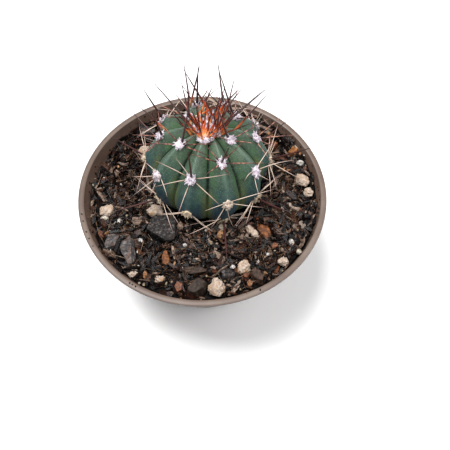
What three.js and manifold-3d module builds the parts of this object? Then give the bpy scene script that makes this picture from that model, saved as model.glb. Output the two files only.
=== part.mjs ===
// Potted melocactus azureus: a young ribbed cactus in a thin plastic pot of gritty soil.
// Millimetres. The pot stands on z = 0, its axis is the z axis and the front faces -y.

import * as THREE from 'three';
import * as BufferGeometryUtils from 'three/addons/utils/BufferGeometryUtils.js';
import Module from 'manifold-3d';

// Pot
const POT_HEIGHT = 50;
const RIM_RADIUS = 45;
const LIP_WIDTH = 2.2;
const LIP_EDGE = 1.2;
const LIP_ROUND = 0.4;
const WALL = 0.9;
const WALL_TOP_LEAN = 1.2;
const LEDGE_DROP = 6;
const LEDGE_WIDTH = 0.9;
const LEDGE_RISE = 0.6;
const FOOT_RADIUS = 25.7;
const FOOT_CORNER = 1;
const STANDING_RING_WIDTH = 6;
const FLOOR_RAISE = 2;
const FLOOR_THICKNESS = 1.2;
const DRAIN_HOLES = 6;
const DRAIN_RADIUS = 3;
const DRAIN_CIRCLE = 13;
const DRAIN_SIDES = 12;
const SIDES = 60;

// Soil
const SOIL_DEPTH_BELOW_RIM = 8.5;
const SOIL_LEAN = 0.043;
const BANK_START = 20;
const BANK_END = 42;
const BANK_RISE = 4.8;
const BANK_LEAN = 0.015;
const SOIL_GRID = 38;
const CRUMB = 5.5;
const CRUMB_HEIGHT = 1.3;
const FINE_CRUMB = 3.1;
const FINE_CRUMB_HEIGHT = 0.7;
const SWELL = 0.5;
const GAP = 0.3;
const SOIL_SIDE_GAP = 0.4;
const ROOM_ROUND_PLANT = 0.4;
const ROOM_ROUND_WOOL = 0.6;
const ROOM_ROUND_LOOSE = 0.78;

// Plant body
const PLANT_X = 1.4;
const PLANT_Y = 10;
const PLANT_WAIST_ABOVE_SOIL = 12.5;
const PLANT_LEAN_RIGHT = THREE.MathUtils.degToRad(1.9);
const PLANT_LEAN_BACK = THREE.MathUtils.degToRad(4.7);
const BODY_RADIUS = 22.6;
const BODY_HALF_HEIGHT = 18.5;
const BODY_LOWER_HEIGHT = 21.5;
const RIBS = 10;
const RIB_PITCH = 2 * Math.PI / RIBS;
const FIRST_GROOVE = THREE.MathUtils.degToRad(1.7);
const GROOVE_DEPTH = 4.8;
const GROOVE_ONSET = 8;
const GROOVE_SHARPNESS = 5;
const FLANK_SHARE = 0.85;
const FLANK_ROUND = 1.2;
const GROOVE_FADE_START = THREE.MathUtils.degToRad(64);
const GROOVE_FADE_END = THREE.MathUtils.degToRad(125);
const GROOVE_FADE = 0.68;
const CROWN_DIMPLE = 2.4;
const CROWN_DIMPLE_RADIUS = 6;
const BODY_STEPS = 18;
const BODY_SHARE = 0.9;
const BODY_LAST_ANGLE = THREE.MathUtils.degToRad(158);
const ROOT_LENGTH = 15;
const ROOT_SLIM = 0.7;
const STEPS_PER_RIB = 6;

// Areoles, their wool and their spines
const AREOLE_START = 54.8;
const AREOLE_RIB_STEP = 16;
const AREOLE_SPACING = 40;
const AREOLE_TOP = 5;
const AREOLE_BOTTOM = 119;
const FRONT_RIB_DROP = 8;
const FRONT_DROP_ANGLE = 88;
const FRONT_DROP_SPAN = 12;
const WOOL_LENGTH = 1.9;
const WOOL_WIDTH = 1.6;
const WOOL_HEIGHT = 1.2;
const RADIAL_ANGLES = [0, 50, -50, 97, -97, 140, -140];
const RADIAL_LENGTHS = [13, 14, 14, 14, 14, 10.5, 10.5];
const RADIAL_TURN_PLAY = 20;
const RADIAL_RAISE = 14;
const RADIAL_RAISE_PLAY = 12;
const RADIAL_THICKNESS = 0.6;
const CENTRAL_TURN = 180;
const CENTRAL_TURN_PLAY = 50;
const CENTRAL_RAISE = 57;
const CENTRAL_RAISE_PLAY = 16;
const CENTRAL_LENGTH = 17;
const CENTRAL_THICKNESS = 0.85;
const CENTRAL_RAISED_OVER = 48;
const LENGTH_PLAY = 0.3;
const SPINE_ROOT = 1.6;
const SPINE_SAG = 1.6;
const BENT_MORE_THAN = 1;
const YOUNG_ANGLE = THREE.MathUtils.degToRad(40);
const YOUNG_RAISE = 18;
const CROWN_SPINES = 12;
const CROWN_SPINE_LENGTH = 12;
const CROWN_SPINE_ROOT = 2;
const CROWN_SPINE_SPACING = 1.25;
const CROWN_SPINE_DEPTH = 3.2;
const CROWN_SPINE_LEAN = 0.14;
const SPINE_CLEARANCE = 0.9;
const CHECK_STEP = 0.125;
const LIFT_STEP = 5;
const MOST_LIFT = 70;
const SHORTEN_STEP = 0.15;
const SHORTEST = 0.4;
const SEED = 20611;

// The front and crown areoles, by rib and by place up the rib, have spines of their own:
// degrees round from straight down, degrees raised off the skin, length, and bend off the skin
const OWN_SPINES = {
  '0,-1': [[-93, 49, 26, -2.4], [124, 44, 28.5, -0.2], [-166, 58, 11, -0.8], [173, 58, 11.5, -0.7],
    [-151, 58, 12, -0.6], [138, 60, 11, -0.5], [-6, 66, 12, 0.8]],
  '0,0': [[-105, 16, 13, -0.3], [-134, 18, 8.5, 0], [-64, 15, 12, -0.6], [-5, 16, 13, -0.5],
    [66, 18, 13, -1.4], [115, 18, 14, -0.3], [180, 53, 19.5, -0.4]],
  '0,1': [[-57, 11, 13, -1.2], [-41, 14, 14, -2.5], [18, 9, 12.5, -1.1], [29, 10, 12.5, -1.3],
    [-10, 9, 7, -0.9]],
  '1,0': [[-112, 37, 14, -0.9], [-141, 42, 10, -0.6], [73, 35, 14.5, -0.4], [10, 42, 6, 0],
    [123, 37, 10, -0.3], [-68, 44, 11.5, 0.4], [177, 79, 15.5, -0.3]],
  '1,1': [[-115, 30, 11.5, -0.8], [-35, 13, 11, -1.3], [11, 11, 12, -0.7], [71, 14, 13.5, -1.2],
    [107, 16, 17, -1.3]],
  '2,0': [[-162, 63, 16, -0.4], [63, 32, 16, -1.4], [16, 37, 10, -2], [-110, 46, 13.5, 1.2]],
  '2,1': [[68, 18, 16.5, 0], [-116, 27, 14, 1], [33, 9, 9.5, -1.5], [-25, 14, 9, -0.6],
    [112, 16, 12, -0.6]],
  '3,0': [[34, 55, 17, -4], [-65, 64, 16, 0.6], [-40, 65, 16, 0.9], [-80, 65, 16, 0.7]],
  '3,1': [[26, 22, 18, -0.6], [14, 8, 11, -1.6], [55, 19, 17, 0.3], [-152, 14, 15, 2.5],
    [-60, 16, 11, -0.5], [115, 18, 13, -0.5]],
  '4,1': [[156, 51, 19, 0.4], [143, 27, 18.5, -0.6], [164, 37, 15, -0.5], [171, 39, 15.5, 3],
    [-110, 38, 15.5, -0.4], [60, 34, 13, -0.8]],
  '4,2': [[-169, 24, 18, 2.3], [62, 16, 15.5, 0], [55, 21, 16, 0.5], [-156, 19, 16.5, -0.3],
    [20, 14, 12, -0.8], [100, 14, 13, -0.5]],
  '5,1': [[77, 53, 19, 1.4], [-47, 55, 17, -3.8], [-144, 70, 17, 1], [-160, 58, 16, 0.7],
    [168, 68, 16, 0.7]],
  '6,2': [[-178, 59, 20.5, -1.4], [-166, 38, 16.5, -1.4], [165, 22, 13.5, -2], [144, 47, 15, -0.3],
    [-90, 34, 12, -0.8]],
  '7,2': [[145, 60, 19.5, 2], [86, 41, 15, -1.6], [-60, 34, 12, -0.5], [20, 30, 11, -0.8]],
  '8,2': [[46, 60, 15, 0.2], [48, 66, 16, 0.7], [38, 54, 15, -0.2]],
  '8,3': [[150, 53, 18.5, 0], [-86, 13, 14, -0.5], [-27, 14, 14.5, -1], [97, 27, 15, 1.1],
    [40, 16, 11, -0.8]],
  '9,3': [[175, 58, 19, -1], [122, 28, 17, -1.2], [124, 46, 14, 1], [106, 27, 17.5, -2],
    [-44, 22, 16.5, -4.5], [-85, 34, 11, -0.3]],
  '9,4': [[-80, 8, 9, -1.6], [-50, 12, 13.5, -0.6], [-21, 15, 15, 0], [-1, 10, 10, -1.3],
    [70, 12, 8, -0.8]],
};

// Loose pieces lying in the soil: centre x and y, length, width, height and turn in degrees
const PUMICE = [
  [15.4, -28.7, 5.0, 5.0, 4.2, 20],
  [6.2, -37.0, 5.4, 6.4, 5.0, 5],
  [-35.0, -7.1, 5.4, 5.0, 4.2, 35],
  [-17.8, -4.6, 6.2, 5.4, 4.6, -20],
  [-24.0, 20.6, 4.6, 6.0, 4.2, 10],
  [36.9, 6.9, 6.0, 4.4, 4.0, -30],
  [38.8, 1.5, 3.6, 3.6, 3.2, 0],
  [18.5, -13.4, 7.0, 3.0, 3.0, -43],
  [28.7, -27.0, 3.6, 3.8, 3.2, 15],
  [-22.8, -32.2, 3.4, 2.8, 2.8, -25],
  [-13.5, -34.0, 3.3, 3.3, 3.0, 40],
];
const BARK = [
  [22.6, -13.4, 7.2, 3.2, 3.0, -60],
  [-0.4, -37.2, 6.4, 5.8, 4.4, 4],
  [-1.8, -30.0, 9.0, 2.6, 2.8, 8],
  [-11.8, -25.8, 6.4, 3.0, 2.6, 97],
  [33.4, 19.8, 4.2, 3.6, 3.2, 30],
  [19.6, -33.0, 5.4, 3.4, 3.2, -55],
  [26.0, 23.8, 4.6, 3.8, 3.4, 70],
];
const STONE = [
  [-31.2, -20.5, 5.6, 4.4, 3.4, 43],
  [-25.2, -23.6, 11.0, 5.0, 3.4, -71],
  [-15.0, -13.0, 10.4, 9.4, 4.8, -10],
  [9.6, -31.6, 4.6, 4.8, 3.6, 25],
  [-23.2, 28.6, 6.4, 4.4, 3.4, 0],
];
const SUNK_SHARE = 0.12;
const CHIP_TOP_SHARE = 0.92;

const SOIL_LEVEL = POT_HEIGHT - SOIL_DEPTH_BELOW_RIM;
const LEDGE_TOP = POT_HEIGHT - LEDGE_DROP + LEDGE_RISE;
const FLOOR_TOP = FLOOR_RAISE + FLOOR_THICKNESS;

const wasm = await Module();
wasm.setup();

const model = new THREE.Group();

// A repeatable random number from 0 to 1
function makeRandom(seed) {
  let state = seed;
  return () => {
    state = (state * 48271) % 2147483647;
    return state / 2147483647;
  };
}

// A closed geometry as a solid that can be joined and cut
function toSolid(geometry) {
  const bare = geometry.clone();
  bare.deleteAttribute('normal');
  bare.deleteAttribute('uv');
  const merged = BufferGeometryUtils.mergeVertices(bare, 1e-4);
  return new wasm.Manifold(new wasm.Mesh({
    numProp: 3,
    vertProperties: new Float32Array(merged.attributes.position.array),
    triVerts: new Uint32Array(merged.index.array),
  }));
}

// A random number spread evenly about zero over the whole range given
function play(random, range) {
  return range * (random() - 0.5);
}

function addPiece(name, solid, color, roughness) {
  const mesh = solid.getMesh();
  const geometry = new THREE.BufferGeometry();
  geometry.setAttribute('position', new THREE.BufferAttribute(mesh.vertProperties, 3));
  geometry.setIndex(new THREE.BufferAttribute(mesh.triVerts, 1));
  geometry.computeVertexNormals();
  const material = new THREE.MeshStandardMaterial({ color, roughness, metalness: 0 });
  const piece = new THREE.Mesh(geometry, material);
  piece.name = name;
  model.add(piece);
}

// A turned solid from [radius, height] points that run up the outside and down the inside
function turned(points) {
  const outline = points.map(([radius, height]) => new THREE.Vector2(radius, height));
  const geometry = new THREE.LatheGeometry(outline, SIDES);
  geometry.rotateX(Math.PI / 2);
  return toSolid(geometry);
}

// Pot: one moulded shell with a lip, a stacking ledge, a raised floor and drain holes

const lipInner = RIM_RADIUS - LIP_WIDTH;
const ledgeOuter = lipInner - WALL_TOP_LEAN;
const ledgeInner = ledgeOuter - LEDGE_WIDTH;
const footOuter = FOOT_RADIUS + FOOT_CORNER;

// Inside radius of the pot wall at a height
function wallInside(z) {
  const ledgeLow = LEDGE_TOP - LEDGE_RISE;
  if (z >= LEDGE_TOP) {
    const share = (z - LEDGE_TOP) / (POT_HEIGHT - LEDGE_TOP);
    return THREE.MathUtils.lerp(ledgeOuter, lipInner, Math.min(share, 1));
  }
  if (z >= ledgeLow) {
    return THREE.MathUtils.lerp(ledgeInner, ledgeOuter, (z - ledgeLow) / LEDGE_RISE);
  }
  const share = (z - FLOOR_TOP) / (ledgeLow - FLOOR_TOP);
  return THREE.MathUtils.lerp(FOOT_RADIUS, ledgeInner, share);
}

function makePot() {
  const ringInner = FOOT_RADIUS - STANDING_RING_WIDTH;
  const ledgeLow = LEDGE_TOP - LEDGE_RISE;
  const lipUnder = POT_HEIGHT - LIP_EDGE;
  let pot = turned([
    [0, FLOOR_RAISE],
    [ringInner - FLOOR_RAISE, FLOOR_RAISE],
    [ringInner, 0],
    [FOOT_RADIUS, 0],
    [footOuter, FOOT_CORNER],
    [ledgeInner + WALL, ledgeLow],
    [ledgeOuter + WALL, LEDGE_TOP],
    [lipInner + WALL, lipUnder],
    [RIM_RADIUS - LIP_ROUND / 2, lipUnder],
    [RIM_RADIUS, lipUnder + LIP_ROUND / 2],
    [RIM_RADIUS, POT_HEIGHT - LIP_ROUND],
    [RIM_RADIUS - LIP_ROUND, POT_HEIGHT],
    [lipInner + LIP_ROUND, POT_HEIGHT],
    [lipInner, POT_HEIGHT - LIP_ROUND],
    [ledgeOuter, LEDGE_TOP],
    [ledgeInner, ledgeLow],
    [FOOT_RADIUS, FLOOR_TOP],
    [0, FLOOR_TOP],
  ]);
  for (let i = 0; i <= DRAIN_HOLES; i += 1) {
    const reach = i === DRAIN_HOLES ? 0 : DRAIN_CIRCLE;
    const turn = i * 2 * Math.PI / DRAIN_HOLES;
    const hole = new THREE.CylinderGeometry(DRAIN_RADIUS, DRAIN_RADIUS, 4 * FLOOR_TOP, DRAIN_SIDES);
    hole.rotateX(Math.PI / 2);
    hole.translate(reach * Math.cos(turn), reach * Math.sin(turn), 0);
    pot = pot.subtract(toSolid(hole));
  }
  return pot;
}

// Soil: a filled core whose top is raised into crumbs by a formula

function hash(i, j) {
  const wave = Math.sin(i * 127.1 + j * 311.7) * 43758.5453;
  return wave - Math.floor(wave);
}

// Height from 0 to 1 of rounded crumbs of one size scattered over the plane
function crumbs(x, y, size) {
  const column = Math.floor(x / size);
  const row = Math.floor(y / size);
  let height = 0;
  for (let i = column - 1; i <= column + 1; i += 1) {
    for (let j = row - 1; j <= row + 1; j += 1) {
      const dx = x / size - i - hash(i, j);
      const dy = y / size - j - hash(j + 37, i + 17);
      const rise = (0.5 + 0.5 * hash(i + 71, j + 5)) * (1 - 1.6 * (dx * dx + dy * dy));
      height = Math.max(height, rise);
    }
  }
  return height;
}

// The soil's level without its crumbs: it lies in a hollow, banked up against the pot wall
function soilLevel(x, y) {
  const share = THREE.MathUtils.smoothstep(Math.hypot(x, y), BANK_START, BANK_END);
  return SOIL_LEVEL + SOIL_LEAN * x + share * (BANK_RISE - BANK_LEAN * x);
}

function soilTop(x, y) {
  const swell = SWELL * Math.sin(x / 9 + 1) * Math.cos(y / 11);
  const coarse = CRUMB_HEIGHT * (crumbs(x, y, CRUMB) - 0.5);
  const fine = FINE_CRUMB_HEIGHT * (crumbs(x + 50, y + 50, FINE_CRUMB) - 0.5);
  return soilLevel(x, y) + swell + coarse + fine;
}

function makeSoilBlock() {
  const side = 2 * RIM_RADIUS;
  const block = new THREE.BoxGeometry(side, side, side, SOIL_GRID, SOIL_GRID, 1);
  const position = block.attributes.position;
  for (let i = 0; i < position.count; i += 1) {
    const top = position.getZ(i) > 0;
    const height = top ? soilTop(position.getX(i), position.getY(i)) : -FLOOR_TOP;
    position.setZ(i, height);
  }
  const inside = turned([
    [0, FLOOR_TOP + GAP],
    [FOOT_RADIUS - SOIL_SIDE_GAP, FLOOR_TOP + GAP],
    [ledgeInner - SOIL_SIDE_GAP, LEDGE_TOP - LEDGE_RISE],
    [ledgeOuter - SOIL_SIDE_GAP, LEDGE_TOP + GAP],
    [lipInner - SOIL_SIDE_GAP, POT_HEIGHT],
    [0, POT_HEIGHT],
  ]);
  return toSolid(block).intersect(inside);
}

// Loose pieces: lumps of pumice and stone, and flat chips of bark, each lying in its own socket

// A lump or chip at the origin, unturned, jittered by its own random draws
function roughPiece(kind, [, , length, width, height], index) {
  const random = makeRandom(SEED + 100 * index + kind.seed);
  const shape = kind.chip
    ? new THREE.CylinderGeometry(CHIP_TOP_SHARE, 1, 2, kind.sides, 1)
    : new THREE.IcosahedronGeometry(1, 1);
  if (kind.chip) {
    shape.rotateX(Math.PI / 2);
  }
  shape.deleteAttribute('normal');
  shape.deleteAttribute('uv');
  const geometry = BufferGeometryUtils.mergeVertices(shape, 1e-4);
  const position = geometry.attributes.position;
  for (let i = 0; i < position.count; i += 1) {
    const scale = 1 + kind.jitter * (0.5 - random());
    const x = position.getX(i) * scale * length / 2;
    const y = position.getY(i) * scale * width / 2;
    const z = position.getZ(i) * (1 + 0.5 * kind.jitter * (0.5 - random())) * height / 2;
    position.setXYZ(i, x, y, z);
  }
  return geometry;
}

const PUMICE_KIND = { name: 'pumice', seed: 1, chip: false, jitter: 0.16, color: 0xd8cbb0 };
const BARK_KIND = { name: 'bark', seed: 2, chip: true, sides: 7, jitter: 0.2, color: 0x5a3a28 };
const STONE_KIND = { name: 'stone', seed: 3, chip: true, sides: 6, jitter: 0.25, color: 0x55524f };

function looseSolids(kind, rows) {
  return rows.map((row, index) => {
    const [x, y, length, width, height, turn] = row;
    const geometry = roughPiece(kind, row, index);
    geometry.rotateZ(THREE.MathUtils.degToRad(turn));
    const level = soilLevel(x, y) + SUNK_SHARE * height;
    const grow = 1 + ROOM_ROUND_LOOSE / Math.min(length, width, height);
    const socket = geometry.clone().scale(grow, grow, grow);
    geometry.translate(x, y, level);
    socket.translate(x, y, level);
    return {
      name: `${kind.name}_${index + 1}`,
      color: kind.color,
      solid: toSolid(geometry),
      socket: toSolid(socket),
      centre: new THREE.Vector3(x, y, level),
      reach: Math.max(length, width) / 2,
      top: level + height / 2,
    };
  });
}

const loose = [
  ...looseSolids(PUMICE_KIND, PUMICE),
  ...looseSolids(BARK_KIND, BARK),
  ...looseSolids(STONE_KIND, STONE),
];

// Plant body: a flattened globe of ten ribs on a short root, all one growth

// Places the plant's own axis: it leans a little to the right and to the back
function plantPlace() {
  const axis = new THREE.Vector3(Math.tan(PLANT_LEAN_RIGHT), Math.tan(PLANT_LEAN_BACK), 1);
  axis.normalize();
  const back = new THREE.Vector3(0, 1, 0);
  back.addScaledVector(axis, -back.dot(axis)).normalize();
  const right = new THREE.Vector3().crossVectors(back, axis);
  const place = new THREE.Matrix4().makeBasis(right, back, axis);
  const waist = SOIL_LEVEL + PLANT_WAIST_ABOVE_SOIL;
  place.setPosition(PLANT_X, PLANT_Y, waist);
  return place;
}

const PLACE = plantPlace();

// Depth of the groove between two ribs: it opens below the crown and fades towards the soil
function grooveDepth(angle, reach) {
  const fade = GROOVE_FADE * THREE.MathUtils.smoothstep(angle, GROOVE_FADE_START, GROOVE_FADE_END);
  return GROOVE_DEPTH * (1 - Math.exp(-reach / GROOVE_ONSET)) * (1 - fade);
}

// Share of the groove's depth at a place between crest, 0, and groove, 1: broad, slightly
// slanting flanks with a narrow sharp groove between them
function grooveShape(offCrest) {
  const flank = FLANK_SHARE * offCrest ** FLANK_ROUND;
  return flank + (1 - FLANK_SHARE) * offCrest ** GROOVE_SHARPNESS;
}

// A point of the skin: angle from the crown, turn round the axis, and how far it is grown out
function skin(angle, turn, grow) {
  const tall = angle < Math.PI / 2 ? BODY_HALF_HEIGHT : BODY_LOWER_HEIGHT;
  const reach = BODY_RADIUS * Math.sin(angle);
  const height = tall * Math.cos(angle);
  const outX = Math.sin(angle) / BODY_RADIUS;
  const outZ = Math.cos(angle) / tall;
  const size = Math.hypot(outX, outZ);
  const place = (turn - FIRST_GROOVE) / RIB_PITCH;
  const offCrest = Math.abs(2 * (place - Math.floor(place)) - 1);
  const move = grow - grooveDepth(angle, reach) * grooveShape(offCrest);
  const dimple = CROWN_DIMPLE * Math.exp(-((reach / CROWN_DIMPLE_RADIUS) ** 2)) * (height > 0 ? 1 : 0);
  const radius = reach + move * outX / size;
  const z = height + move * outZ / size - dimple;
  return new THREE.Vector3(radius * Math.sin(turn), -radius * Math.cos(turn), z);
}

function makeBody(grow) {
  const rounds = RIBS * STEPS_PER_RIB;
  const rows = Math.round(BODY_STEPS / BODY_SHARE);
  const geometry = new THREE.SphereGeometry(1, rounds, rows);
  const position = geometry.attributes.position;
  const uv = geometry.attributes.uv;
  const neck = skin(BODY_LAST_ANGLE, FIRST_GROOVE + RIB_PITCH / 2, grow);
  const neckRadius = Math.hypot(neck.x, neck.y);
  for (let i = 0; i < position.count; i += 1) {
    const down = 1 - uv.getY(i);
    const turn = FIRST_GROOVE + Math.round(uv.getX(i) * rounds) * 2 * Math.PI / rounds;
    const share = (down - BODY_SHARE) / (1 - BODY_SHARE);
    let point = skin(Math.min(down / BODY_SHARE, 1) * BODY_LAST_ANGLE, turn, grow);
    if (share > 0) {
      const radius = neckRadius * ROOT_SLIM * (1 - share) ** 0.6;
      const z = neck.z - share * ROOT_LENGTH;
      point = new THREE.Vector3(radius * Math.sin(turn), -radius * Math.cos(turn), z);
    }
    if (down === 0 || down === 1) {
      point.x = 0;
      point.y = 0;
    }
    position.setXYZ(i, point.x, point.y, point.z);
  }
  geometry.applyMatrix4(PLACE);
  return toSolid(geometry);
}

// Areoles: woolly cushions in a spiral up the rib crests, 40 degrees apart on each rib

function listAreoles() {
  const areoles = [];
  for (let rib = 0; rib < RIBS; rib += 1) {
    const turn = FIRST_GROOVE + (rib - 0.5) * RIB_PITCH;
    for (let level = -4; level <= 8; level += 1) {
      const spiral = AREOLE_START - AREOLE_RIB_STEP * rib + AREOLE_SPACING * level;
      const front = rib < 2 ? FRONT_RIB_DROP : 0;
      const drop = front * Math.exp(-(((spiral - FRONT_DROP_ANGLE) / FRONT_DROP_SPAN) ** 2));
      if (spiral > AREOLE_TOP && spiral < AREOLE_BOTTOM) {
        const own = OWN_SPINES[`${rib},${level}`];
        areoles.push({ turn, angle: THREE.MathUtils.degToRad(spiral + drop), own });
      }
    }
  }
  return areoles;
}

// The place of an areole and its own directions: out of the skin, up the rib and sideways
function areoleFrame({ angle, turn }) {
  const step = 0.02;
  const at = skin(angle, turn, 0);
  const up = skin(angle - step, turn, 0).sub(skin(angle + step, turn, 0)).normalize();
  const side = new THREE.Vector3(Math.cos(turn), Math.sin(turn), 0);
  const out = new THREE.Vector3().crossVectors(side, up).normalize();
  at.applyMatrix4(PLACE);
  for (const direction of [up, side, out]) {
    direction.transformDirection(PLACE);
  }
  return { at, up, side, out };
}

function makeWool({ at, up, side, out }, grow) {
  const wool = new THREE.IcosahedronGeometry(1, 0);
  wool.scale(WOOL_WIDTH + grow, WOOL_LENGTH + grow, WOOL_HEIGHT + grow);
  wool.applyMatrix4(new THREE.Matrix4().makeBasis(side, up, out).setPosition(at));
  return toSolid(wool);
}

// A spine's points run along a slight curve: root + direction * length + sag * bend
function spinePoint(spine, share) {
  return spine.root.clone()
    .addScaledVector(spine.direction, spine.length * share)
    .addScaledVector(spine.bendWay, spine.bend * share * share);
}

// True where a spine stays above the soil and its loose pieces and inside the pot's rim
function isClear(spine) {
  for (let share = 2 * CHECK_STEP; share <= 1; share += CHECK_STEP) {
    const point = spinePoint(spine, share);
    const reach = Math.hypot(point.x, point.y);
    const overRim = point.z > POT_HEIGHT + SPINE_CLEARANCE;
    const inside = overRim ? RIM_RADIUS - GAP : wallInside(point.z) - SPINE_CLEARANCE;
    if (reach > inside || point.z < soilTop(point.x, point.y) + SPINE_CLEARANCE) {
      return false;
    }
    for (const piece of loose) {
      const away = Math.hypot(point.x - piece.centre.x, point.y - piece.centre.y);
      if (away < piece.reach + SPINE_CLEARANCE && point.z < piece.top + SPINE_CLEARANCE) {
        return false;
      }
    }
  }
  return true;
}

// Turns a spine up, step by step, until it is clear, and then shortens it if it has to
function bentClear(make) {
  for (let shorten = 1; shorten > SHORTEST; shorten -= SHORTEN_STEP) {
    for (let lift = 0; lift <= MOST_LIFT; lift += LIFT_STEP) {
      const spine = make(THREE.MathUtils.degToRad(lift), shorten);
      if (isClear(spine)) {
        return spine;
      }
    }
  }
  return null;
}

// A plain areole's rays: seven radials like a star and one central, each with some play
function starOfRays(young, random) {
  const rays = RADIAL_ANGLES.map((degrees, i) => [
    degrees + play(random, RADIAL_TURN_PLAY),
    RADIAL_RAISE + (young ? YOUNG_RAISE : 0) + play(random, RADIAL_RAISE_PLAY),
    RADIAL_LENGTHS[i] * (1 + play(random, LENGTH_PLAY)),
    -SPINE_SAG * random(),
  ]);
  rays.push([
    CENTRAL_TURN + play(random, CENTRAL_TURN_PLAY),
    CENTRAL_RAISE + play(random, CENTRAL_RAISE_PLAY),
    CENTRAL_LENGTH * (1 + play(random, LENGTH_PLAY)),
    -SPINE_SAG * random(),
  ]);
  return rays;
}

// All spines of one areole, each turned clear of the soil
function areoleSpines(areole, random) {
  const { at, up, side, out } = areoleFrame(areole);
  const worldUp = new THREE.Vector3(0, 0, 1);
  const root = at.clone().addScaledVector(out, -SPINE_ROOT / 2);
  const rays = areole.own ?? starOfRays(areole.angle < YOUNG_ANGLE, random);
  const spines = [];
  for (const [degrees, raised, length, bend] of rays) {
    const around = THREE.MathUtils.degToRad(degrees);
    const raise = THREE.MathUtils.degToRad(raised);
    const flat = new THREE.Vector3()
      .addScaledVector(up, -Math.cos(around))
      .addScaledVector(side, Math.sin(around));
    const spine = bentClear((lift, shorten) => {
      const direction = new THREE.Vector3()
        .addScaledVector(flat, Math.cos(raise))
        .addScaledVector(out, Math.sin(raise))
        .multiplyScalar(Math.cos(lift))
        .addScaledVector(worldUp, Math.sin(lift))
        .normalize();
      return {
        root,
        direction,
        bendWay: out,
        bend: bend * shorten,
        length: length * shorten + SPINE_ROOT / 2,
        thickness: raised > CENTRAL_RAISED_OVER ? CENTRAL_THICKNESS : RADIAL_THICKNESS,
        steps: Math.abs(bend) > BENT_MORE_THAN ? 2 : 1,
      };
    });
    if (spine) {
      spines.push(spine);
    }
  }
  return spines;
}

// Young spines stand in a tuft at the crown, set out like seeds in a sunflower
function crownSpines(random) {
  const golden = Math.PI * (3 - Math.sqrt(5));
  const spines = [];
  for (let i = 0; i < CROWN_SPINES; i += 1) {
    const reach = CROWN_SPINE_SPACING * Math.sqrt(i + 0.5);
    const turn = i * golden;
    const lean = CROWN_SPINE_LEAN * (1 + reach + random());
    const rootHeight = BODY_HALF_HEIGHT - CROWN_SPINE_DEPTH;
    const root = new THREE.Vector3(reach * Math.sin(turn), -reach * Math.cos(turn), rootHeight);
    const direction = new THREE.Vector3(
      Math.sin(turn) * Math.sin(lean),
      -Math.cos(turn) * Math.sin(lean),
      Math.cos(lean),
    );
    const bendWay = new THREE.Vector3(Math.sin(turn), -Math.cos(turn), 0);
    spines.push({
      root: root.applyMatrix4(PLACE),
      direction: direction.transformDirection(PLACE),
      bendWay: bendWay.transformDirection(PLACE),
      bend: -SPINE_SAG * random(),
      length: CROWN_SPINE_LENGTH * (1 + play(random, LENGTH_PLAY)) + CROWN_SPINE_ROOT,
      thickness: CENTRAL_THICKNESS,
      steps: 1,
    });
  }
  return spines;
}

// A three-sided needle along the spine's curve
function makeNeedle(spine) {
  const needle = new THREE.ConeGeometry(spine.thickness / 2, spine.length, 3, spine.steps);
  needle.translate(0, spine.length / 2, 0);
  const across = spine.bendWay.clone();
  across.addScaledVector(spine.direction, -across.dot(spine.direction)).normalize();
  const other = new THREE.Vector3().crossVectors(across, spine.direction);
  const position = needle.attributes.position;
  for (let i = 0; i < position.count; i += 1) {
    const offset = new THREE.Vector3()
      .addScaledVector(across, position.getX(i))
      .addScaledVector(other, position.getZ(i));
    const point = spinePoint(spine, position.getY(i) / spine.length).add(offset);
    position.setXYZ(i, point.x, point.y, point.z);
  }
  return toSolid(needle);
}

function makePlant() {
  const random = makeRandom(SEED);
  const areoles = listAreoles();
  const parts = [makeBody(0)];
  for (const areole of areoles) {
    parts.push(makeWool(areoleFrame(areole), 0));
    for (const spine of areoleSpines(areole, random)) {
      parts.push(makeNeedle(spine));
    }
  }
  for (const spine of crownSpines(random)) {
    parts.push(makeNeedle(spine));
  }
  return wasm.Manifold.union(parts);
}

// The whole pot

let soil = makeSoilBlock().subtract(makeBody(ROOM_ROUND_PLANT));
for (const areole of listAreoles()) {
  soil = soil.subtract(makeWool(areoleFrame(areole), ROOM_ROUND_WOOL));
}
for (const piece of loose) {
  soil = soil.subtract(piece.socket);
}

addPiece('pot', makePot(), 0xa39488, 0.55);
addPiece('soil', soil, 0x2b211c, 0.95);
addPiece('cactus', makePlant(), 0x4f7c6f, 0.6);
for (const piece of loose) {
  addPiece(piece.name, piece.solid, piece.color, 0.9);
}

export default model;
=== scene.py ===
"""Potted melocactus azureus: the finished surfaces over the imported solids.

Shapes are worked out in millimetres, as the solids were, and laid down in metres.
The pot stands on z = 0 and its front faces -Y.
"""

from collections import namedtuple
from math import cos, floor, hypot, pi, radians, sin, sqrt, tan

import bmesh
import bpy
import numpy as np
from mathutils import Matrix, Vector, noise


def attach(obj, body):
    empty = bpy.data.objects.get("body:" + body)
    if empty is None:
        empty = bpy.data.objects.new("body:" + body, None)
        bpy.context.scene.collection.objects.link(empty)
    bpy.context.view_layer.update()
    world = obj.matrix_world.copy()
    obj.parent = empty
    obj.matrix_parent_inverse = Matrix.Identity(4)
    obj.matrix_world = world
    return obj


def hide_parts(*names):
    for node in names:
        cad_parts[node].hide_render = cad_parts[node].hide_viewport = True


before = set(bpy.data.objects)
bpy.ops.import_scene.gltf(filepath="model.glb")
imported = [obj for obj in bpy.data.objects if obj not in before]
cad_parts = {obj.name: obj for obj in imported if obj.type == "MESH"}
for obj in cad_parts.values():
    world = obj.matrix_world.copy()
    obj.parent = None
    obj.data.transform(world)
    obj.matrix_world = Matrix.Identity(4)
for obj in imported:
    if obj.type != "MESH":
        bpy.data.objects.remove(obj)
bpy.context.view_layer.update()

MM = 0.001

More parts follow.
